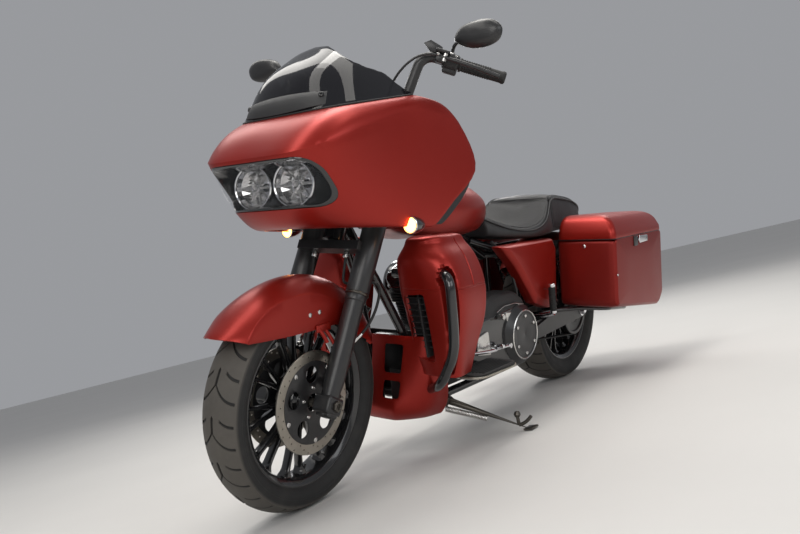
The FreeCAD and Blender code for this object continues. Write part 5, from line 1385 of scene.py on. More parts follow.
def addShields():
    put(joined("leg shields", addShield(1), addShield(-1)), "red", replaces=("leg_shields",),
        smoothAngle=34)
    panels, posts = [], []
    for side in sides:
        shifts = ((-10, -8), (16, -8), (14, 8), (-10, 8))
        grown = [((y + dy) * side, z + dz) for (y, z), (dy, dz) in zip(shield["window"], shifts)]
        panels.append(outlined("louvre", [(388 + (z - 390) * .16, y, z) for y, z in grown], (-3, 0, 0), .8,
                               1))
        plan = [(y * side, z) for y, z in ((196, 378), (204, 378), (178, 584), (170, 584))]
        posts.append(slab("post", plan, 0, 432, -30, 2, 2))
        for step in range(9):
            z = 408 + step * 20
            lean = (z - 390) * .12
            posts.append(block("slat", (404 + lean, (192 - step * 1.6) * side, z), (22, 92, 3), .8, 1))
    put(joined("leg shield louvres", *panels, *posts), "plastic")
    pipes = [pipe("guard", guardLine(side), guard["radius"], smooth=False, sides=10) for side in sides]
    putAll("engine guard", pipes, "gloss", replaces=("engine_guard",))
    collars = []
    for side in sides:
        collars.append(block("clamp", (352, 112 * side, 240), (54, 44, 40), 8, 3))
        collars.append(lathe("clamp bolt", ((0, 1), (5, 1), (6, 4), (5, 7), (0, 7.4)), 24,
                             (374, 120 * side, 256), (1, .3 * side, 0)))
    putAll("engine guard clamps", collars, "satinBlack")


# rings: height, front x and half width, side x and half width, rear x and half width
chin = {"rings": ((158, 448, 62, 380, 128, 312, 150), (200, 474, 84, 410, 158, 308, 176),
                  (300, 452, 110, 410, 190, 336, 200),
                  (440, 428, 120, 416, 186, 384, 192)), "wall": 4,
        "openings": (((28, 238), (94, 238), (98, 294), (28, 294)),
                     ((26, 318), (98, 318), (104, 412), (26, 412)))}


def addChin():
    rings = []
    for z, xFront, yFront, xSide, ySide, xRear, yRear in chin["rings"]:
        half = [(xFront, 0, z), (xFront - 1, yFront * .7, z), (xFront - 4, yFront, z), (xSide, ySide, z),
                (xRear, yRear, z)]
        ring = spread(curveThrough(half, 8, first=(xFront - 1, -yFront * .7, z)), 40)
        rings.append(wholeRow(ring))
    floor = [Vector((p.x * .97, p.y * .86, p.z - 2)) for p in rings[0]]
    rows = list(zip(*[curveThrough(points, 8) for points in zip(floor, *rings)]))
    skin = tidyMesh(grid("chin fairing", [list(row) for row in rows]), outward=False)
    facing(skin, (900, 0, 300), (-1, 0, 0))
    thicken(skin, chin["wall"])
    cutters = []
    for side in sides:
        for opening in chin["openings"]:
            plan = roundedPlan([(y * side, z) for y, z in opening], 12, 5)
            cutters.append(slab("opening", plan, 0, 300, 300, 0))
    cutBy(skin, joined("openings", *cutters))
    put(bevel(skin, 1.4, 2, 50), "red", replaces=("chin_fairing",), smoothAngle=34)
    fins = [block("core", (365, 0, 335), (24, 110, 186), 3)]
    fins += [block("fin", (367, -54 + 4.5 * index, 335), (40, 1.2, 182), 0) for index in range(25)]
    fins += [block("tank", (367, 0, z), (42, 112, 10), 3) for z in (243, 427)]
    for side in sides:
        fins += [block("side grille", (372, (62 + index * 6) * side, 330), (22, 2, 164), .5, 1)
                 for index in range(8)]
    fins += [rod("peg", (375, -78, 400), (375, 78, 400), 5), rod("peg", (362, -90, 262), (362, 90, 262), 5)]
    fins += [block("low shroud", (402, 62 * side, 262), (4, 92, 112), 1, 1) for side in sides]
    fins.append(block("shroud", (346, 0, 322), (6, 250, 236), 3))
    putAll("oil cooler", fins, "satinBlack", replaces=("oil_cooler",))


addShields()
addChin()
print("shields and chin")


# Tank, console, seat and side covers

# each station: x, half width, bottom, height of the widest line, top
tank = {"stations": ((398, 84, 790, 836, 890), (350, 128, 772, 840, 926), (220, 158, 748, 838, 948),
                     (60, 158, 745, 836, 944),
                     (-70, 126, 752, 834, 914), (-146, 84, 764, 820, 862)),
        "console": (36, 236, 44), "door": (60, 190, 36), "top": 951.7}


def tankLoop(half, bottom, wide, top, grow=0):
    corners = [(0, bottom), (half * .72, bottom), (half, wide - 26), (half, wide + 24),
               (half * .55, top - 10), (0, top)]
    loop = corners + [(-y, z) for y, z in reversed(corners[1:-1])]
    middle = (bottom + top) / 2
    closed = curveThrough([(y, z, 0) for y, z in [*loop, loop[0]]], 6, first=(*loop[-1], 0),
                          last=(*loop[1], 0))[:-1]
    return [(p.x + math.copysign(grow, p.x) * min(1, abs(p.x) / 20),
             p.y + (grow if p.y > middle else -grow)) for p in closed]


def addTank():
    sections = [[Vector((x, y, z)) for y, z in tankLoop(*numbers)] for x, *numbers in tank["stations"]]
    body = lofted("fuel tank", sections, 8)
    put(body, "red", replaces=("fuel_tank",), smoothAngle=60)
    rows = []
    for x, lean in ((352, 0), (344, 2.6), (300, 3), (292, 2.6), (284, 0)):
        numbers = [between([(-s[0], s[index]) for s in tank["stations"]], -x) for index in range(1, 5)]
        loop = [Vector((x + (z - 850) * -.32, y, z)) for y, z in tankLoop(*numbers, grow=lean) if z > 790]
        loop.sort(key=lambda p: math.atan2(p.z - 800, p.y))
        rows.append(spread(loop, 40))
    band = tidyMesh(grid("tank trim", rows), outward=False)
    facing(band, (320, 0, 1200), (0, 0, -1))
    put(thicken(band, 2.5), "plastic")
    low, high, half = tank["console"]
    plan = roundedPlan(((low, -half), (high, -half + 8), (high, half - 8), (low, half)), 20, 6)
    put(slab("tank console", plan, 2, 922, tank["top"] - 922, 5, 4), "gloss")
    low, high, half = tank["door"]
    door = slab("fuel door", roundedBox((low, -half), (high, half), 14, 6), 2, 952, 5, 1.6, 3)
    pull = block("door pull", (low + 10, 0, 955), (8, 24, 4), 1.5)
    put(joined("fuel door cover", door, pull), "gloss", "fuel_door", replaces=("fuel_door",))
    cap = bevel(lathe("neck", ((-10, 20), (0, 24), (1.2, 24), (1.2, 6), (0, .5), (-10, .5)), 48,
                      ((low + high) / 2, 0, 950), (0, 0, 1)), .5, 2, 25)
    put(joined("filler cap", cap), "bright")


# each station: x, half width at the foot, half width at the top, then the heights of foot, edge and middle
seat = {"stations": ((-152, 84, 60, 716, 800, 812), (-190, 118, 96, 706, 776, 772),
                     (-250, 150, 136, 700, 750, 734), (-370, 180, 166, 692, 738, 716),
                     (-470, 182, 168, 694, 768, 738), (-520, 176, 158, 697, 812, 790),
                     (-556, 166, 148, 700, 848, 850), (-600, 160, 142, 702, 858, 868),
                     (-700, 152, 134, 705, 852, 864), (-820, 138, 122, 706, 838, 850),
                     (-920, 118, 104, 706, 812, 822), (-975, 92, 78, 708, 782, 790),
                     (-1000, 70, 52, 710, 752, 756)),
        "perSpan": 6, "piping": 3.4, "folds": 1.6,
        "creaseAt": -540, "crease": 9, "channelAt": -300, "channel": 2, "seamAt": -556}


def seatLoop(x, foot, top, low, edge, middle):
    # each half: floor, tucked side, rolled border, dish or crown
    half = [(0, low), (foot * .6, low), (foot - 12, low + 1), (foot - 1, low + 10), (foot, low + 24),
            (foot * .55 + top * .45 + 4, (low + edge) / 2 + 6), (top + 6, edge - 14), (top, edge - 3),
            (top - 8, edge + 1), (top - 18, edge - 1), (top * .8, edge - (edge - middle) * .3),
            (top * .45, middle + (edge - middle) * .25), (0, middle)]
    return [Vector((x, y, z)) for y, z in half + [(-y, z) for y, z in reversed(half[1:-1])]]


def addSeat():
    sections = [seatLoop(*station) for station in seat["stations"]]
    cushion = lofted("seat cushion", sections, seat["perSpan"])
    modify(cushion, "SUBSURF", levels=1, render_levels=1)
    for vertex in cushion.data.vertices:
        x, y, z = vertex.co
        if z < 712:
            continue
        lift = noise.noise(Vector((x, y, z)) * .012) + .5 * noise.noise(Vector((x, y, z)) * .03)
        crease = math.exp(-((x - seat["creaseAt"] + abs(y) * .12) / 10) ** 2) * seat["crease"]
        channel = math.exp(-((x - seat["channelAt"]) / 5) ** 2) * seat["channel"] * (abs(y) < 110)
        vertex.co += vertex.normal * (lift * seat["folds"] - crease * (z > 740) - channel)
    put(cushion, "leather", replaces=("seat",), smoothAngle=60, padded=.75)
    cords = []
    for side in sides:
        for lift, out in ((-13, 8), (1, -8)):
            path = [Vector((x, side * (top + out), edge + lift))
                    for x, _, top, _, edge, _ in seat["stations"]]
            cords.append(pipe("piping", spread(curveThrough(path, 6), 60), seat["piping"] if out > 0
                              else 1.5, smooth=False, sides=3))
    station = next(row for row in seat["stations"] if row[0] <= seat["seamAt"])
    loop = [p for p in seatLoop(*station) if p.z > station[3] + 20]
    loop.sort(key=lambda p: math.atan2(p.z - station[3], p.y))
    cords.append(pipe("cross seam", spread(loop, 40), 1.8, smooth=False, sides=3))
    putAll("seat piping", cords, "leather")


cover = {"outline": ((-66, 684), (-486, 684), (-512, 640), (-498, 402), (-424, 398), (-310, 436),
                     (-170, 596)), "middle": (-300, 560),
         "ridge": ((-100, 676), (-470, 678), (-498, 640), (-488, 500), (-330, 470)),
         "layers": ((150, 1, 0), (176, 1, 0), (188, .985, 0), (198, .93, 4), (206, .84, 10))}


def addCovers():
    shells = []
    for side in sides:
        rings = []
        for y, share, lift in cover["layers"]:
            plan = drawnIn(roundedPlan(cover["outline"], 14, 4), cover["middle"], share)
            rings.append([Vector((p.x, y * side, p.y + lift)) for p in plan])
        shells.append(lofted("side cover", rings, 0))
        shells.append(slab("ridge", cover["ridge"], 1, 186 * side, 14 * side, 5, 3))
    body = joined("side covers", *shells)
    put(bevel(body, 2.5, 2, 24), "red", replaces=("side_covers",), smoothAngle=30)
    strips = []
    for side in sides:
        strips.append(pipe("cover seam", [(-500, 199 * side, 470), (-440, 205.5 * side, 474),
                (-360, 206 * side, 488)], 1.2, smooth=False, sides=2))
        strips.append(pipe("frame wire", [(-120, 120 * side, 700), (-200, 160 * side, 610),
                (-240, 150 * side, 480)], 6, sides=4))
    putAll("cover lines", strips, "satinBlack")


# y, height and radius of each instrument, all on the dash panel's upper face
dials = {"places": ((-62, 1080, 44), (62, 1080, 44), (-150, 1076, 24), (150, 1076, 24)),
         "foot": (610, 1040), "slope": 21, "ticks": 24,
         "screen": (616, 1000), "screenSize": (196, 60), "screenLean": -9.9}


def addDials():
    turned = Matrix.Rotation(math.radians(dials["slope"]), 4, "Y")
    upwards, outwards = turned @ Vector((0, 0, 1)), turned @ Vector((-1, 0, 0))
    rings, faces, ticks = [], [], []
    x, z = dials["foot"]
    for y, height, radius in dials["places"]:
        at = Vector((x, y, z)) + upwards * ((height - z) / upwards.z)
        rings.append(lathe("dial ring", ((-6, radius - 5), (4, radius - 5), (6, radius - 2), (4, radius),
                (-6, radius)), 64, at, outwards))
        faces.append(lathe("dial", ((-3, 1), (-3, radius - 4), (1, radius - 4), (1, 1)), 64, at, outwards))
        tick = block("tick", at + upwards * (radius - 10) + outwards * 1.4, (1, 1.4, 6), 0, 1, turned)
        ticks.append(ringOf("ticks", tick, dials["ticks"], at, outwards))
        ticks.append(block("needle", at + upwards * (radius * .3) + outwards * 2.4, (1, 2, radius * .7), 0,
                           1, turned))
    lean = Matrix.Rotation(math.radians(dials["screenLean"]), 4, "Y")
    x, z = dials["screen"]
    wide, high = dials["screenSize"]
    faces.append(block("screen", (x, 0, z), (7, wide, high), 3, 3, lean))
    putAll("dial rings", rings, "chrome")
    putAll("dial faces", faces, "screen")
    putAll("dial ticks", ticks, "dial")


addTank()
addSeat()
addCovers()
addDials()
print("tank, seat, side covers and dials")


# Saddlebags, tail, shocks and exhaust

# planes: distance from the middle plane and how far the outline is drawn in there
# lid and inside: height, then how far the front, rear, inner and outer edges are drawn in
bag = {"planes": ((182, 6), (190, 2), (280, 0), (396, 0), (420, 5), (430, 16)), "front": -556,
       "rear": -1106, "top": 665, "low": 385, "round": 20,
       "lid": ((668.3, 0, 0, 0, 0), (690, 1, 1, 0, 1), (712, 6, 4, 1, 7), (734, 14, 10, 4, 18),
               (752, 26, 20, 8, 36), (764, 44, 34, 14, 62), (769, 66, 54, 24, 96)),
       "inside": ((655, 5, 5, 5, 5), (690, 6, 6, 6, 7), (712, 11, 9, 6, 13), (730, 19, 15, 9, 24),
                  (748, 34, 28, 14, 46), (757, 52, 42, 20, 72)),
       "latch": (-838, 668), "sealAt": 666.6}


def addBag(side, name):
    rings = []
    for y, grow in bag["planes"]:
        low = bag["low"] + grow
        corners = ((bag["front"] - grow, bag["top"]), (bag["rear"] + .2 * grow, bag["top"]),
                   (bag["rear"] - 12 + grow, low - 20), (bag["rear"] + 40 + grow, low - 62),
                   (bag["front"] - 20, low), (bag["front"] - grow, low + 26))
        rings.append([Vector((p.x, y * side, p.y)) for p in roundedPlan(corners, bag["round"], 5)])
    shell = tidyMesh(lofted("saddlebag", rings, 0))
    hollow = ((bag["front"] - 6, 720), (bag["rear"] + 6, 720), (bag["rear"] + 16, bag["low"] + 8),
              (bag["front"] - 24, bag["low"] + 8))
    cutBy(shell, slab("bag inside", roundedPlan(hollow, 16, 4), 1, 189 * side, 235 * side, 0))
    bevel(shell, 3, 3, 25)
    # the shell takes the darker copy of the body red as painted shade; its lid keeps the body red
    put(shell, "redInPaintedShade", replaces=(f"{name}_saddlebag",), smoothAngle=32)

    def slices(rows):
        found = []
        for z, ahead, behind, inside, outside in rows:
            corners = ((bag["front"] + 4 - ahead, 181 + inside), (bag["front"] + 4 - ahead, 431 - outside),
                       (bag["rear"] - 2 + behind, 431 - outside), (bag["rear"] - 2 + behind, 181 + inside))
            found.append([Vector((p.x, p.y * side, z - (bag["front"] - p.x) * .018 * (z > 700)))
                          for p in roundedPlan(corners, 26, 7)])
        return found

    lid = tidyMesh(lofted("lid", slices(bag["lid"]), 2))
    cutBy(lid, lofted("lid inside", slices(bag["inside"]), 0))
    put(bevel(lid, 1.2, 2, 50), "red", f"{name}_lid", replaces=(f"{name}_lid",), smoothAngle=50)
    front, rear, level = bag["front"] + 1, bag["rear"] + 1, bag["sealAt"]
    plan = roundedPlan(((front, 184), (front, 429), (rear, 429), (rear, 184)), 24, 6)
    loop = [Vector((p.x, p.y * side, level)) for p in plan] + [Vector((front, 200 * side, level))]
    lip = pipe("seal", loop, 1.4, smooth=False, sides=2)
    x, z = bag["latch"]
    plate = block("latch plate", (x + 56, 432 * side, z - 26), (44, 5, 42), 4, 3)
    put(joined("saddlebag seal", lip, plate), "satinBlack", slot="black_plastic")
    plan = ((x - 64, z - 36), (x + 26, z - 38), (x + 36, z - 24), (x + 26, z - 6), (x - 64, z - 8),
            (x - 72, z - 22))
    put(slab("latch handle", plan, 1, 434 * side, 6 * side, 2, 3), "chrome")
    stud = lathe("bag bolt", ((0, .5), (0, 7), (2.4, 7), (4, 5), (4.6, .5)), 24,
                 (bag["front"] + .2, 300 * side, 640), (1, 0, 0))
    clasp = lathe("bag stud", ((0, .5), (0, 5), (2, 5), (3, .5)), 20, (bag["front"] - 16, 430 * side, 520),
                  (0, side, 0))
    put(joined("saddlebag studs", stud, clasp), "chrome")


for bagSide, bagName in zip(sides, ("left", "right")):
    addBag(bagSide, bagName)


tail = {"crown": 363, "half": 105, "from": 40, "to": 190, "lampHeight": 470, "barHeight": 400,
        "plate": (180, 105), "plateLow": 280, "podSide": 140, "podHeight": 408}


def addTail():
    rows = []
    for step in range(61):
        angle = math.radians(tail["from"] + (tail["to"] - tail["from"]) * step / 60)
        row = []
        for across in range(-12, 13):
            y = tail["half"] * across / 10
            share = min(1, abs(y) / tail["half"])
            drop = 22 * share ** 2.6
            if abs(across) > 10:
                drop, y = 22 + (abs(across) - 10) * 52, math.copysign(tail["half"] + 1, y)
            radius = tail["crown"] - drop
            row.append(rearAxle + Vector((radius * math.cos(angle), y, radius * math.sin(angle))))
        rows.append(row)
    put(thicken(tidyMesh(grid("rear fender", rows)), 3), "red", replaces=("rear_fender",), smoothAngle=50)
    rear = rearAxle.x - tail["crown"]
    shell = lathe("shell", ((-30, 1), (-30, 30), (-4, 50), (6, 50), (6, 44), (0, 1)), 48,
                  (rear - 2, 0, tail["lampHeight"]), (-1, 0, 0))
    beam = block("bar", (rear + 6, 0, tail["barHeight"]), (20, 300, 16), 4, 3)
    housing = bevel(joined("lamp base", shell, beam), .6, 2, 30)
    pods = [lathe("pod", ((-26, 1), (-24, 16), (-8, 32), (6, 33), (6, 30), (-2, 1)), 40,
                  (rear - 6, tail["podSide"] * side, tail["podHeight"]), (-1, 0, 0)) for side in sides]
    put(joined("tail lamp housings", housing, *pods), "gloss")
    lenses = [lathe("lens", ((0, 1), (0, 46), (8, 44), (13, 30), (15, 1)), 48,
                    (rear - 2, 0, tail["lampHeight"]), (-1, 0, 0))]
    lenses += [lathe("lens", ((0, 1), (0, 29), (7, 27), (11, 15), (12, 1)), 40,
                     (rear - 7, tail["podSide"] * side, tail["podHeight"]), (-1, 0, 0)) for side in sides]
    putAll("tail lamp lenses", lenses, "redLens", replaces=("tail_lamps",))
    wide, high = tail["plate"]
    plan = roundedBox((-wide / 2, tail["plateLow"]), (wide / 2, tail["plateLow"] + high), 8, 4)
    plate = slab("number plate", plan, 0, rear - 16, -1.6, .3, 1)
    backing = block("backing", (rear - 8, 0, tail["plateLow"] + high / 2 + 4), (13, wide + 6, high + 10),
                    3, 2)
    bolts = [lathe("bolt", ((0, .5), (0, 7), (2, 7), (3, 5), (3.4, .5)), 20,
                   (rear - 17.4, y, tail["plateLow"] + high - 19), (-1, 0, 0)) for y in (-60, 60)]
    put(backing, "plastic")
    put(joined("blank plate", plate, *bolts), "alloy")


shock = {"ends": ((-742, 368), (-600, 646.5)), "side": 150, "coil": 20, "pitch": 15, "step": .35}


def addDrive():
    for side in sides:
        low, high = (Vector((x, shock["side"] * side, z)) for x, z in shock["ends"])
        along = (high - low).normalized()
        turn = along.to_track_quat("Z", "Y").to_matrix()
        length = (high - low).length
        coil = []
        for step in range(int((length - 110) / shock["pitch"] * math.tau / shock["step"])):
            angle = step * shock["step"]
            across = (shock["coil"] * math.cos(angle), shock["coil"] * math.sin(angle))
            coil.append(low + along * 70 + turn @ Vector((*across, angle / math.tau * shock["pitch"])))
        spring = pipe("spring", coil, 4.6, smooth=False, sides=3)
        damper = [rod("tube", low + along * 14, low + along * 74, 21, 3),
                  rod("shaft", low + along * 60, high - along * 40, 7),
                  rod("cap", high - along * 44, high - along * 12, 24, 4),
                  *[lathe("eye", ((-15, 7), (-15, 17), (15, 17), (15, 7)), 32, end) for end in (low, high)]]
        put(joined("shock springs", spring), "gloss", replaces=("rear_shocks",))
        putAll("shock dampers", damper, "satinBlack", slot="gloss_black")
    pivots = []
    for side in sides:
        pivots += [lathe("axle nut", ((0, 1), (0, 19), (10, 19), (16, 14), (18, 1)), 6,
                         (rearAxle.x, 160 * side, rearAxle.z), (0, side, 0)),
                   lathe("washer", ((-1, 1), (-1, 26), (2, 26), (2, 1)), 40,
                         (rearAxle.x, 160 * side, rearAxle.z), (0, side, 0)),
                   block("adjuster", (-866, 148 * side, 327), (40, 12, 12), 2)]
    putAll("axle nuts", pivots, "chrome")


exhaust = {"from": (-240, -212, 238), "length": 800, "pipe": 23,
           "front": ((348, -124, 520), (372, -150, 470), (378, -150, 390), (360, -150, 310),
                     (322, -150, 262),
                     (260, -154, 250), (-120, -158, 250), (-200, -190, 243), (-246, -212, 238)),
           "rear": ((-126, -124, 512), (-150, -150, 480), (-152, -160, 350), (-160, -164, 290),
                    (-182, -168, 256),
                    (-225, -190, 246)),
           "clamps": (((0, -156, 250), (1, 0, 0)), ((-232, -207, 240), (-1, -.4, 0)))}


def addExhaust():
    end = exhaust["length"]
    can = lathe("muffler", ((0, 22), (6, 26), (50, 42), (60, 44), (end - 40, 44), (end - 34, 47),
                            (end - 6, 47), (end, 44), (end - 2, 36), (end - 120, 34), (end - 120, 1),
                            (0, 1)), 64, exhaust["from"], (-1, 0, 0))
    put(bevel(can, 1, 2, 30), "gloss")
    clamps = [lathe("clamp", ((-12, 20), (-12, 26), (12, 26), (12, 20)), 40, at, way)
              for at, way in exhaust["clamps"]]
    headers = [pipe(f"{which} header", exhaust[which], exhaust["pipe"], sides=12)
               for which in ("front", "rear")]
    put(joined("exhaust pipes", *headers, *clamps), "satinBlack", slot="chrome", replaces=("exhaust",))


addTail()
addDrive()
addExhaust()
print("bags, tail and exhaust")


# Engine, floorboards, pedals, pegs and the side stand

engine = {"crank": (110, 330), "tilt": 22.5, "barrel": 54, "fins": 11, "pitch": 11, "from": 16, "head": 140,
          "cover": (58, 86), "clutch": (-190, 335), "bolts": 6,
          "blocks": (("sump", (100, 0, 268), (310, 188, 118), 14),
                     ("gearbox", (-180, 0, 333), (310, 180, 206), 16),
                     ("gearbox top", (-150, 0, 448), (180, 150, 40), 12))}


def addCylinders():
    fins, covers, trims = [], [], []
    for tilt in (engine["tilt"], -engine["tilt"]):
        lean = math.radians(tilt)
        way = Vector((math.sin(lean), 0, math.cos(lean)))
        fore = Vector((math.cos(lean), 0, -math.sin(lean)))
        foot = Vector((engine["crank"][0], 0, engine["crank"][1])) + way * 96

        def around(at, half, radius, perCorner=5, grown=(1, 1)):
            plan = roundedBox((-half[0], -half[1]), half, radius, perCorner)
            return [at + fore * p.x * grown[0] + Vector((0, p.y * grown[1], 0)) for p in plan]

        fins.append(rod("barrel", foot, foot + way * 150, engine["barrel"], 0, 48))
        for index in range(engine["fins"]):
            at = foot + way * (engine["from"] + index * engine["pitch"])
            fins.append(outlined("fin", around(at, (74, 70), 34, 6), way * 3.4, .8, 1))
        at = foot + way * engine["head"]
        for index in range(4):
            fins.append(outlined("head fin", around(at + way * (index * 12), (72, 80), 26), way * 4, 1, 1))
        fins.append(outlined("head core", around(at, (60, 66), 20), way * 50, 1))
        rings = []
        for lift, share in ((50, .9), (56, 1), (84, 1), (98, .93), (106, .8), (110, .6)):
            rings.append(around(at + way * lift, engine["cover"], 30, 6, (share, share)))
        covers.append(bevel(lofted("rocker cover", rings, 0), 1, 2, 25))
        edge = around(at + way * 54, engine["cover"], 30, 6, (1.015, 1.01))
        trims.append(pipe("cover edge", [*edge, edge[0]], 2, smooth=False, sides=2))
        for side in sides:
            for x in (-38, 38):
                trims.append(lathe("cover bolt", ((0, .5), (0, 6), (5, 6), (6, 4), (6, .5)), 20,
                                   at + way * 100 + fore * x + Vector((0, 62 * side, 0)), way))
    putAll("cylinder fins", fins, "wrinkle", replaces=("cylinders",))
    putAll("rocker covers", covers, "gloss")
    putAll("rocker trims", trims, "chrome")


def addCases():
    x, z = engine["crank"]
    case = lathe("crankcase", ((-96, 1), (-96, 96), (-84, 112), (-40, 118), (40, 118), (84, 112), (96, 96),
                               (96, 1)), 64, (x, 0, z))
    parts = [bevel(case, 1, 2, 30)] + [block(*numbers, 4) for numbers in engine["blocks"]]
    for index in range(7):
        parts.append(block("case rib", (-290 + index * 40, 0, 346), (5, 186, 170), 1.5, 2))
    plan = roundedPlan(((64, 388), (44, 492), (-40, 512), (-176, 508), (-248, 462), (-262, 392)), 26, 6)
    rings = []
    for y, share in ((92, 1), (150, 1), (170, .97), (182, .88)):
        rings.append([Vector((p.x, y, p.y)) for p in drawnIn(plan, (-100, 440), share)])
    parts.append(bevel(lofted("inner cover", rings, 0), 2, 2, 20))
    putAll("engine cases", parts, "wrinkle", replaces=("crankcase",))
    cx, cz = engine["clutch"]
    plan = []
    for centre, radius, start, end in (((x, z), 106, 80, -84), ((cx, cz), 124, -96, -262)):
        for step in range(25):
            angle = math.radians(start + (end - start) * step / 24)
            plan.append((centre[0] + radius * math.cos(angle), centre[1] + radius * math.sin(angle)))
    rings = []
    for y, share in ((97, 1), (150, 1), (168, .985), (178, .95), (184, .9)):
        rings.append([Vector((p.x, y, p.y)) for p in drawnIn(plan, (-40, 333), share)])
    shell = bevel(lofted("primary cover", rings, 0), 1.5, 2, 18)
    put(shell, "gloss", replaces=("primary_cover",), smoothAngle=30)
    derby = bevel(lathe("derby", ((176, 1), (176, 120), (186, 116), (196, 104), (204, 98), (208, 94),
                                  (210, 86), (207, 82), (206, 60), (207, 1)), 96, (cx, 0, cz)), .8, 2, 25)
    put(derby, "satinBlack", slot="gloss_black")
    bright = [lathe("derby ring", ((207, 88), (209.4, 90), (210.6, 93), (208, 96)), 96, (cx, 0, cz))]
    for index in range(engine["bolts"]):
        angle = math.radians(30 + 360 / engine["bolts"] * index)
        bright.append(lathe("derby bolt", ((206, .5), (206, 7), (212, 7), (213.4, 5), (213.4, .5)), 24,
                            (cx + 72 * math.cos(angle), 0, cz + 72 * math.sin(angle)), (0, 1, 0)))
    for index in range(10):
        angle = math.radians(-80 + index * 18 if index < 5 else 20 + index * 14)
        centre = (x, z) if index < 5 else (cx, cz)
        reach = 96 if index < 5 else 114
        bright.append(lathe("case bolt", ((174, .5), (174, 6), (186, 6), (187, 4), (187, .5)), 20,
                            (centre[0] + reach * math.cos(angle) * (1 if index < 5 else .3), 0,
                             centre[1] + reach * math.sin(angle)), (0, 1, 0)))
    plan = roundedPlan(((34, 300), (128, 316), (118, 378), (48, 392)), 12, 5)
    bright.append(slab("inspection cover", plan, 1, 182, 8, 2.5, 3))
    bright.append(rod("chain knob", (-30, 186, 430), (-30, 214, 430), 11, 3))
    # polished flank and edge lines above the clutch
    plan = roundedPlan(((-84, 436), (-158, 428), (-172, 384), (-104, 374)), 10, 4)
    bright.append(slab("polished flank", plan, 1, 181, 6, 2, 3))
    bright.append(pipe("edge line", [(52, 158, 440), (36, 160, 486), (-40, 162, 506), (-170, 162, 502),
            (-240, 158, 458)], 2.4, smooth=False, sides=2))
    bright.append(pipe("edge line", [(-20, 188, 446), (-70, 190, 462), (-150, 190, 462), (-222, 186, 448)],
                       2, smooth=False, sides=2))
    putAll("primary brights", bright, "bright")


cleaner = {"centre": (118, 0, 572), "screws": (1.57, 3.66, 5.76), "screwsAt": 40}


def addAirCleaner():
    centre, outwards = Vector(cleaner["centre"]), (0, -1, 0)
    can = lathe("air cleaner", ((78, 1), (78, 76), (92, 84), (150, 84), (166, 76), (176, 60), (177, 1)),
                72, centre, outwards)
    put(bevel(can, 1, 2, 30), "gloss", replaces=("air_cleaner",))
    ring = lathe("cover ring", ((173, 61), (177.4, 58), (178.6, 54), (176, 50)), 72, centre, outwards)
    screws = []
    for angle in cleaner["screws"]:
        spot = centre + Vector((math.cos(angle), 0, math.sin(angle))) * cleaner["screwsAt"]
        screws.append(lathe("screw", ((176, .5), (176, 6), (179, 6), (180, 4), (180, .5)), 20, spot,
                            outwards))
    put(joined("air cleaner trim", ring, *screws), "chrome")


board = {"plan": ((98, 218), (330, 214), (352, 240), (344, 318), (310, 338), (130, 346), (98, 322)),
         "low": 296, "top": 312}


peg = {"foot": (-396, 226, 386), "way": (.2, .08, 1), "ribs": 11}


def addBoards():
    pads, pans, rods = [], [], []
    for side in sides:
        plan = [Vector((p.x, p.y * side)) for p in roundedPlan(board["plan"], 16, 5)]
        pans.append(slab("pan", plan, 2, board["low"], 7, 2, 2))
        pads.append(slab("mat", drawnIn(plan, (220, 280 * side), .96), 2, board["low"] + 7, 7, 2.5, 3))
        for index in range(9):
            y = 232 + index * 11.5
            pads.append(block("rib", (222, y * side, board["top"]), (196 - abs(index - 4) * 5, 4, 4), 1.4,
                              2))
        for x in (126, 204):
            rods += [rod("arm", (x, 100 * side, 290), (x, 246 * side, 290), 9, 2),
                     rod("pin", (x - 18, 222 * side, 290), (x + 18, 222 * side, 290), 6, 1)]
    putAll("floorboard mats", pads, "rubber")
    putAll("floorboard pans", pans, "steel", replaces=("floorboards",))
    putAll("floorboard arms", rods, "satinBlack")
    chromed = [pipe("shift lever", ((60, 208, 330), (60, 236, 330), (110, 238, 334), (200, 238, 344),
                                    (338, 238, 366)), 6, sides=5),
               rod("shift toe", (338, 224, 366), (338, 268, 366), 8, 2),
               rod("heel pad", (66, 226, 340), (66, 262, 344), 8, 2),
               rod("shift rod", (-40, 226, 323), (56, 214, 326), 5),
               lathe("rod end", ((-8, .5), (-8, 9), (8, 9), (8, .5)), 24, (-40, 222, 323), (0, 1, 0)),
               pipe("brake arm", ((294, -240, 304), (318, -244, 346), (350, -262, 366)), 7, sides=5),
               block("brake pad", (351, -262, 368), (66, 56, 10), 4, 3)]
    rubbers = []
    for side in sides:
        way = onSide(peg["way"], side).normalized()
        foot = onSide(peg["foot"], side)
        chromed += [rod("peg end", foot + way * 112, foot + way * 126, 16, 4),
                    rod("peg root", foot - way * 2, foot + way * 12, 13, 3)]
        chromed.append(pipe("peg bracket", (foot, Vector((-396, 200 * side, 372)),
                Vector((-392, 140 * side, 372))), 11, sides=6))
        rubbers += [rod("peg rubber", foot + way * (10 + index * 9), foot + way * (17.6 + index * 9), 14.6,
                        2.4, 32) for index in range(peg["ribs"])]
        rubbers.append(rod("peg core", foot + way * 8, foot + way * 112, 12))
    putAll("foot brights", chromed, "chrome", replaces=("foot_controls",))
    rubbers.append(rod("toe rubber", (338, 232, 366), (338, 264, 366), 11, 3))
    putAll("foot rubbers", rubbers, "rubber")


stand = {"pivot": (262, 130, 190), "radius": 13}


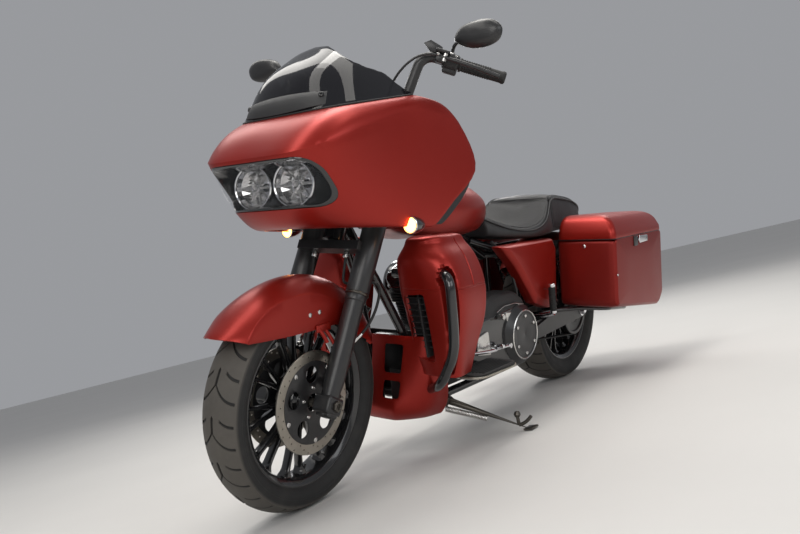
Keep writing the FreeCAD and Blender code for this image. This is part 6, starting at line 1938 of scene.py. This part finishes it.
def addStand():
    standNode = frame["nodes"]["side_stand"]
    pivot = Vector(stand["pivot"])
    # the foot is where the CAD stand touches the ground
    reach = [leaned.inverted() @ vertex.co for vertex in standNode.data.vertices if vertex.co.z < .004]
    foot = sum(reach, Vector()) / len(reach)
    along = (foot - pivot).normalized()
    leg = [rod("leg", pivot + along * 10, foot - along * 6, stand["radius"], 2, 32, .8),
           lathe("pivot", ((-14, 1), (-14, 24), (14, 24), (14, 1)), 40, pivot, Vector((-.55, .6, 1)))]
    middle = pivot.lerp(foot, .86)
    leg += [rod("ball stem", middle, middle + Vector((0, -6, 30)), 6),
            lathe("ball", ((-12, .5), (-8.5, 8.5), (0, 12), (8.5, 8.5), (12, .5)), 24,
                  middle + Vector((0, -6, 36)), (0, 0, 1)),
            pipe("hook", (middle, middle + along * 20 + Vector((0, 6, 14)),
                          middle + along * 34 + Vector((0, 10, 44))), 6, sides=5)]
    leg.append(block("foot plate", foot + Vector((0, -3, 6)), (46, 34, 6), 2, 2,
                     leaned.inverted().to_3x3().normalized().to_4x4()))
    putAll("side stand leg", leg, "darkSteel", "side_stand", slot="frame_black", replaces=("side_stand",))
    far = pivot.lerp(foot, .5)
    near = pivot + Vector((10, 10, -14))
    coil = []
    way = (far - near).normalized()
    turn = way.to_track_quat("Z", "Y").to_matrix()
    total = (far - near).length
    for step in range(int(total / 5 * 10)):
        angle = step * math.tau / 10
        coil.append(near + way * (step * .5) + turn @ Vector((8 * math.cos(angle), 8 * math.sin(angle), 0))
                    + Vector((0, 0, -16)))
    put(pipe("stand spring", coil, 2.4, smooth=False, sides=3), "bright", "side_stand", slot="steel")


addCylinders()
addCases()
addAirCleaner()
addBoards()
addStand()
print("engine and foot controls")


# CAD pieces that keep their own meshes

carried = {"yokes": "satinBlack", "handlebar": "satinBlack", "frame": "gloss", "swingarm": "satinBlack",
           "drive_belt": "rubber", "bag_guards": "gloss", "dash_panel": "plastic"}

for nodeName, node in frame["nodes"].items():
    if not node.hide_render:
        node.data.materials.clear()
        node.data.materials.append(finishes[carried[nodeName]])
print("carried pieces painted")
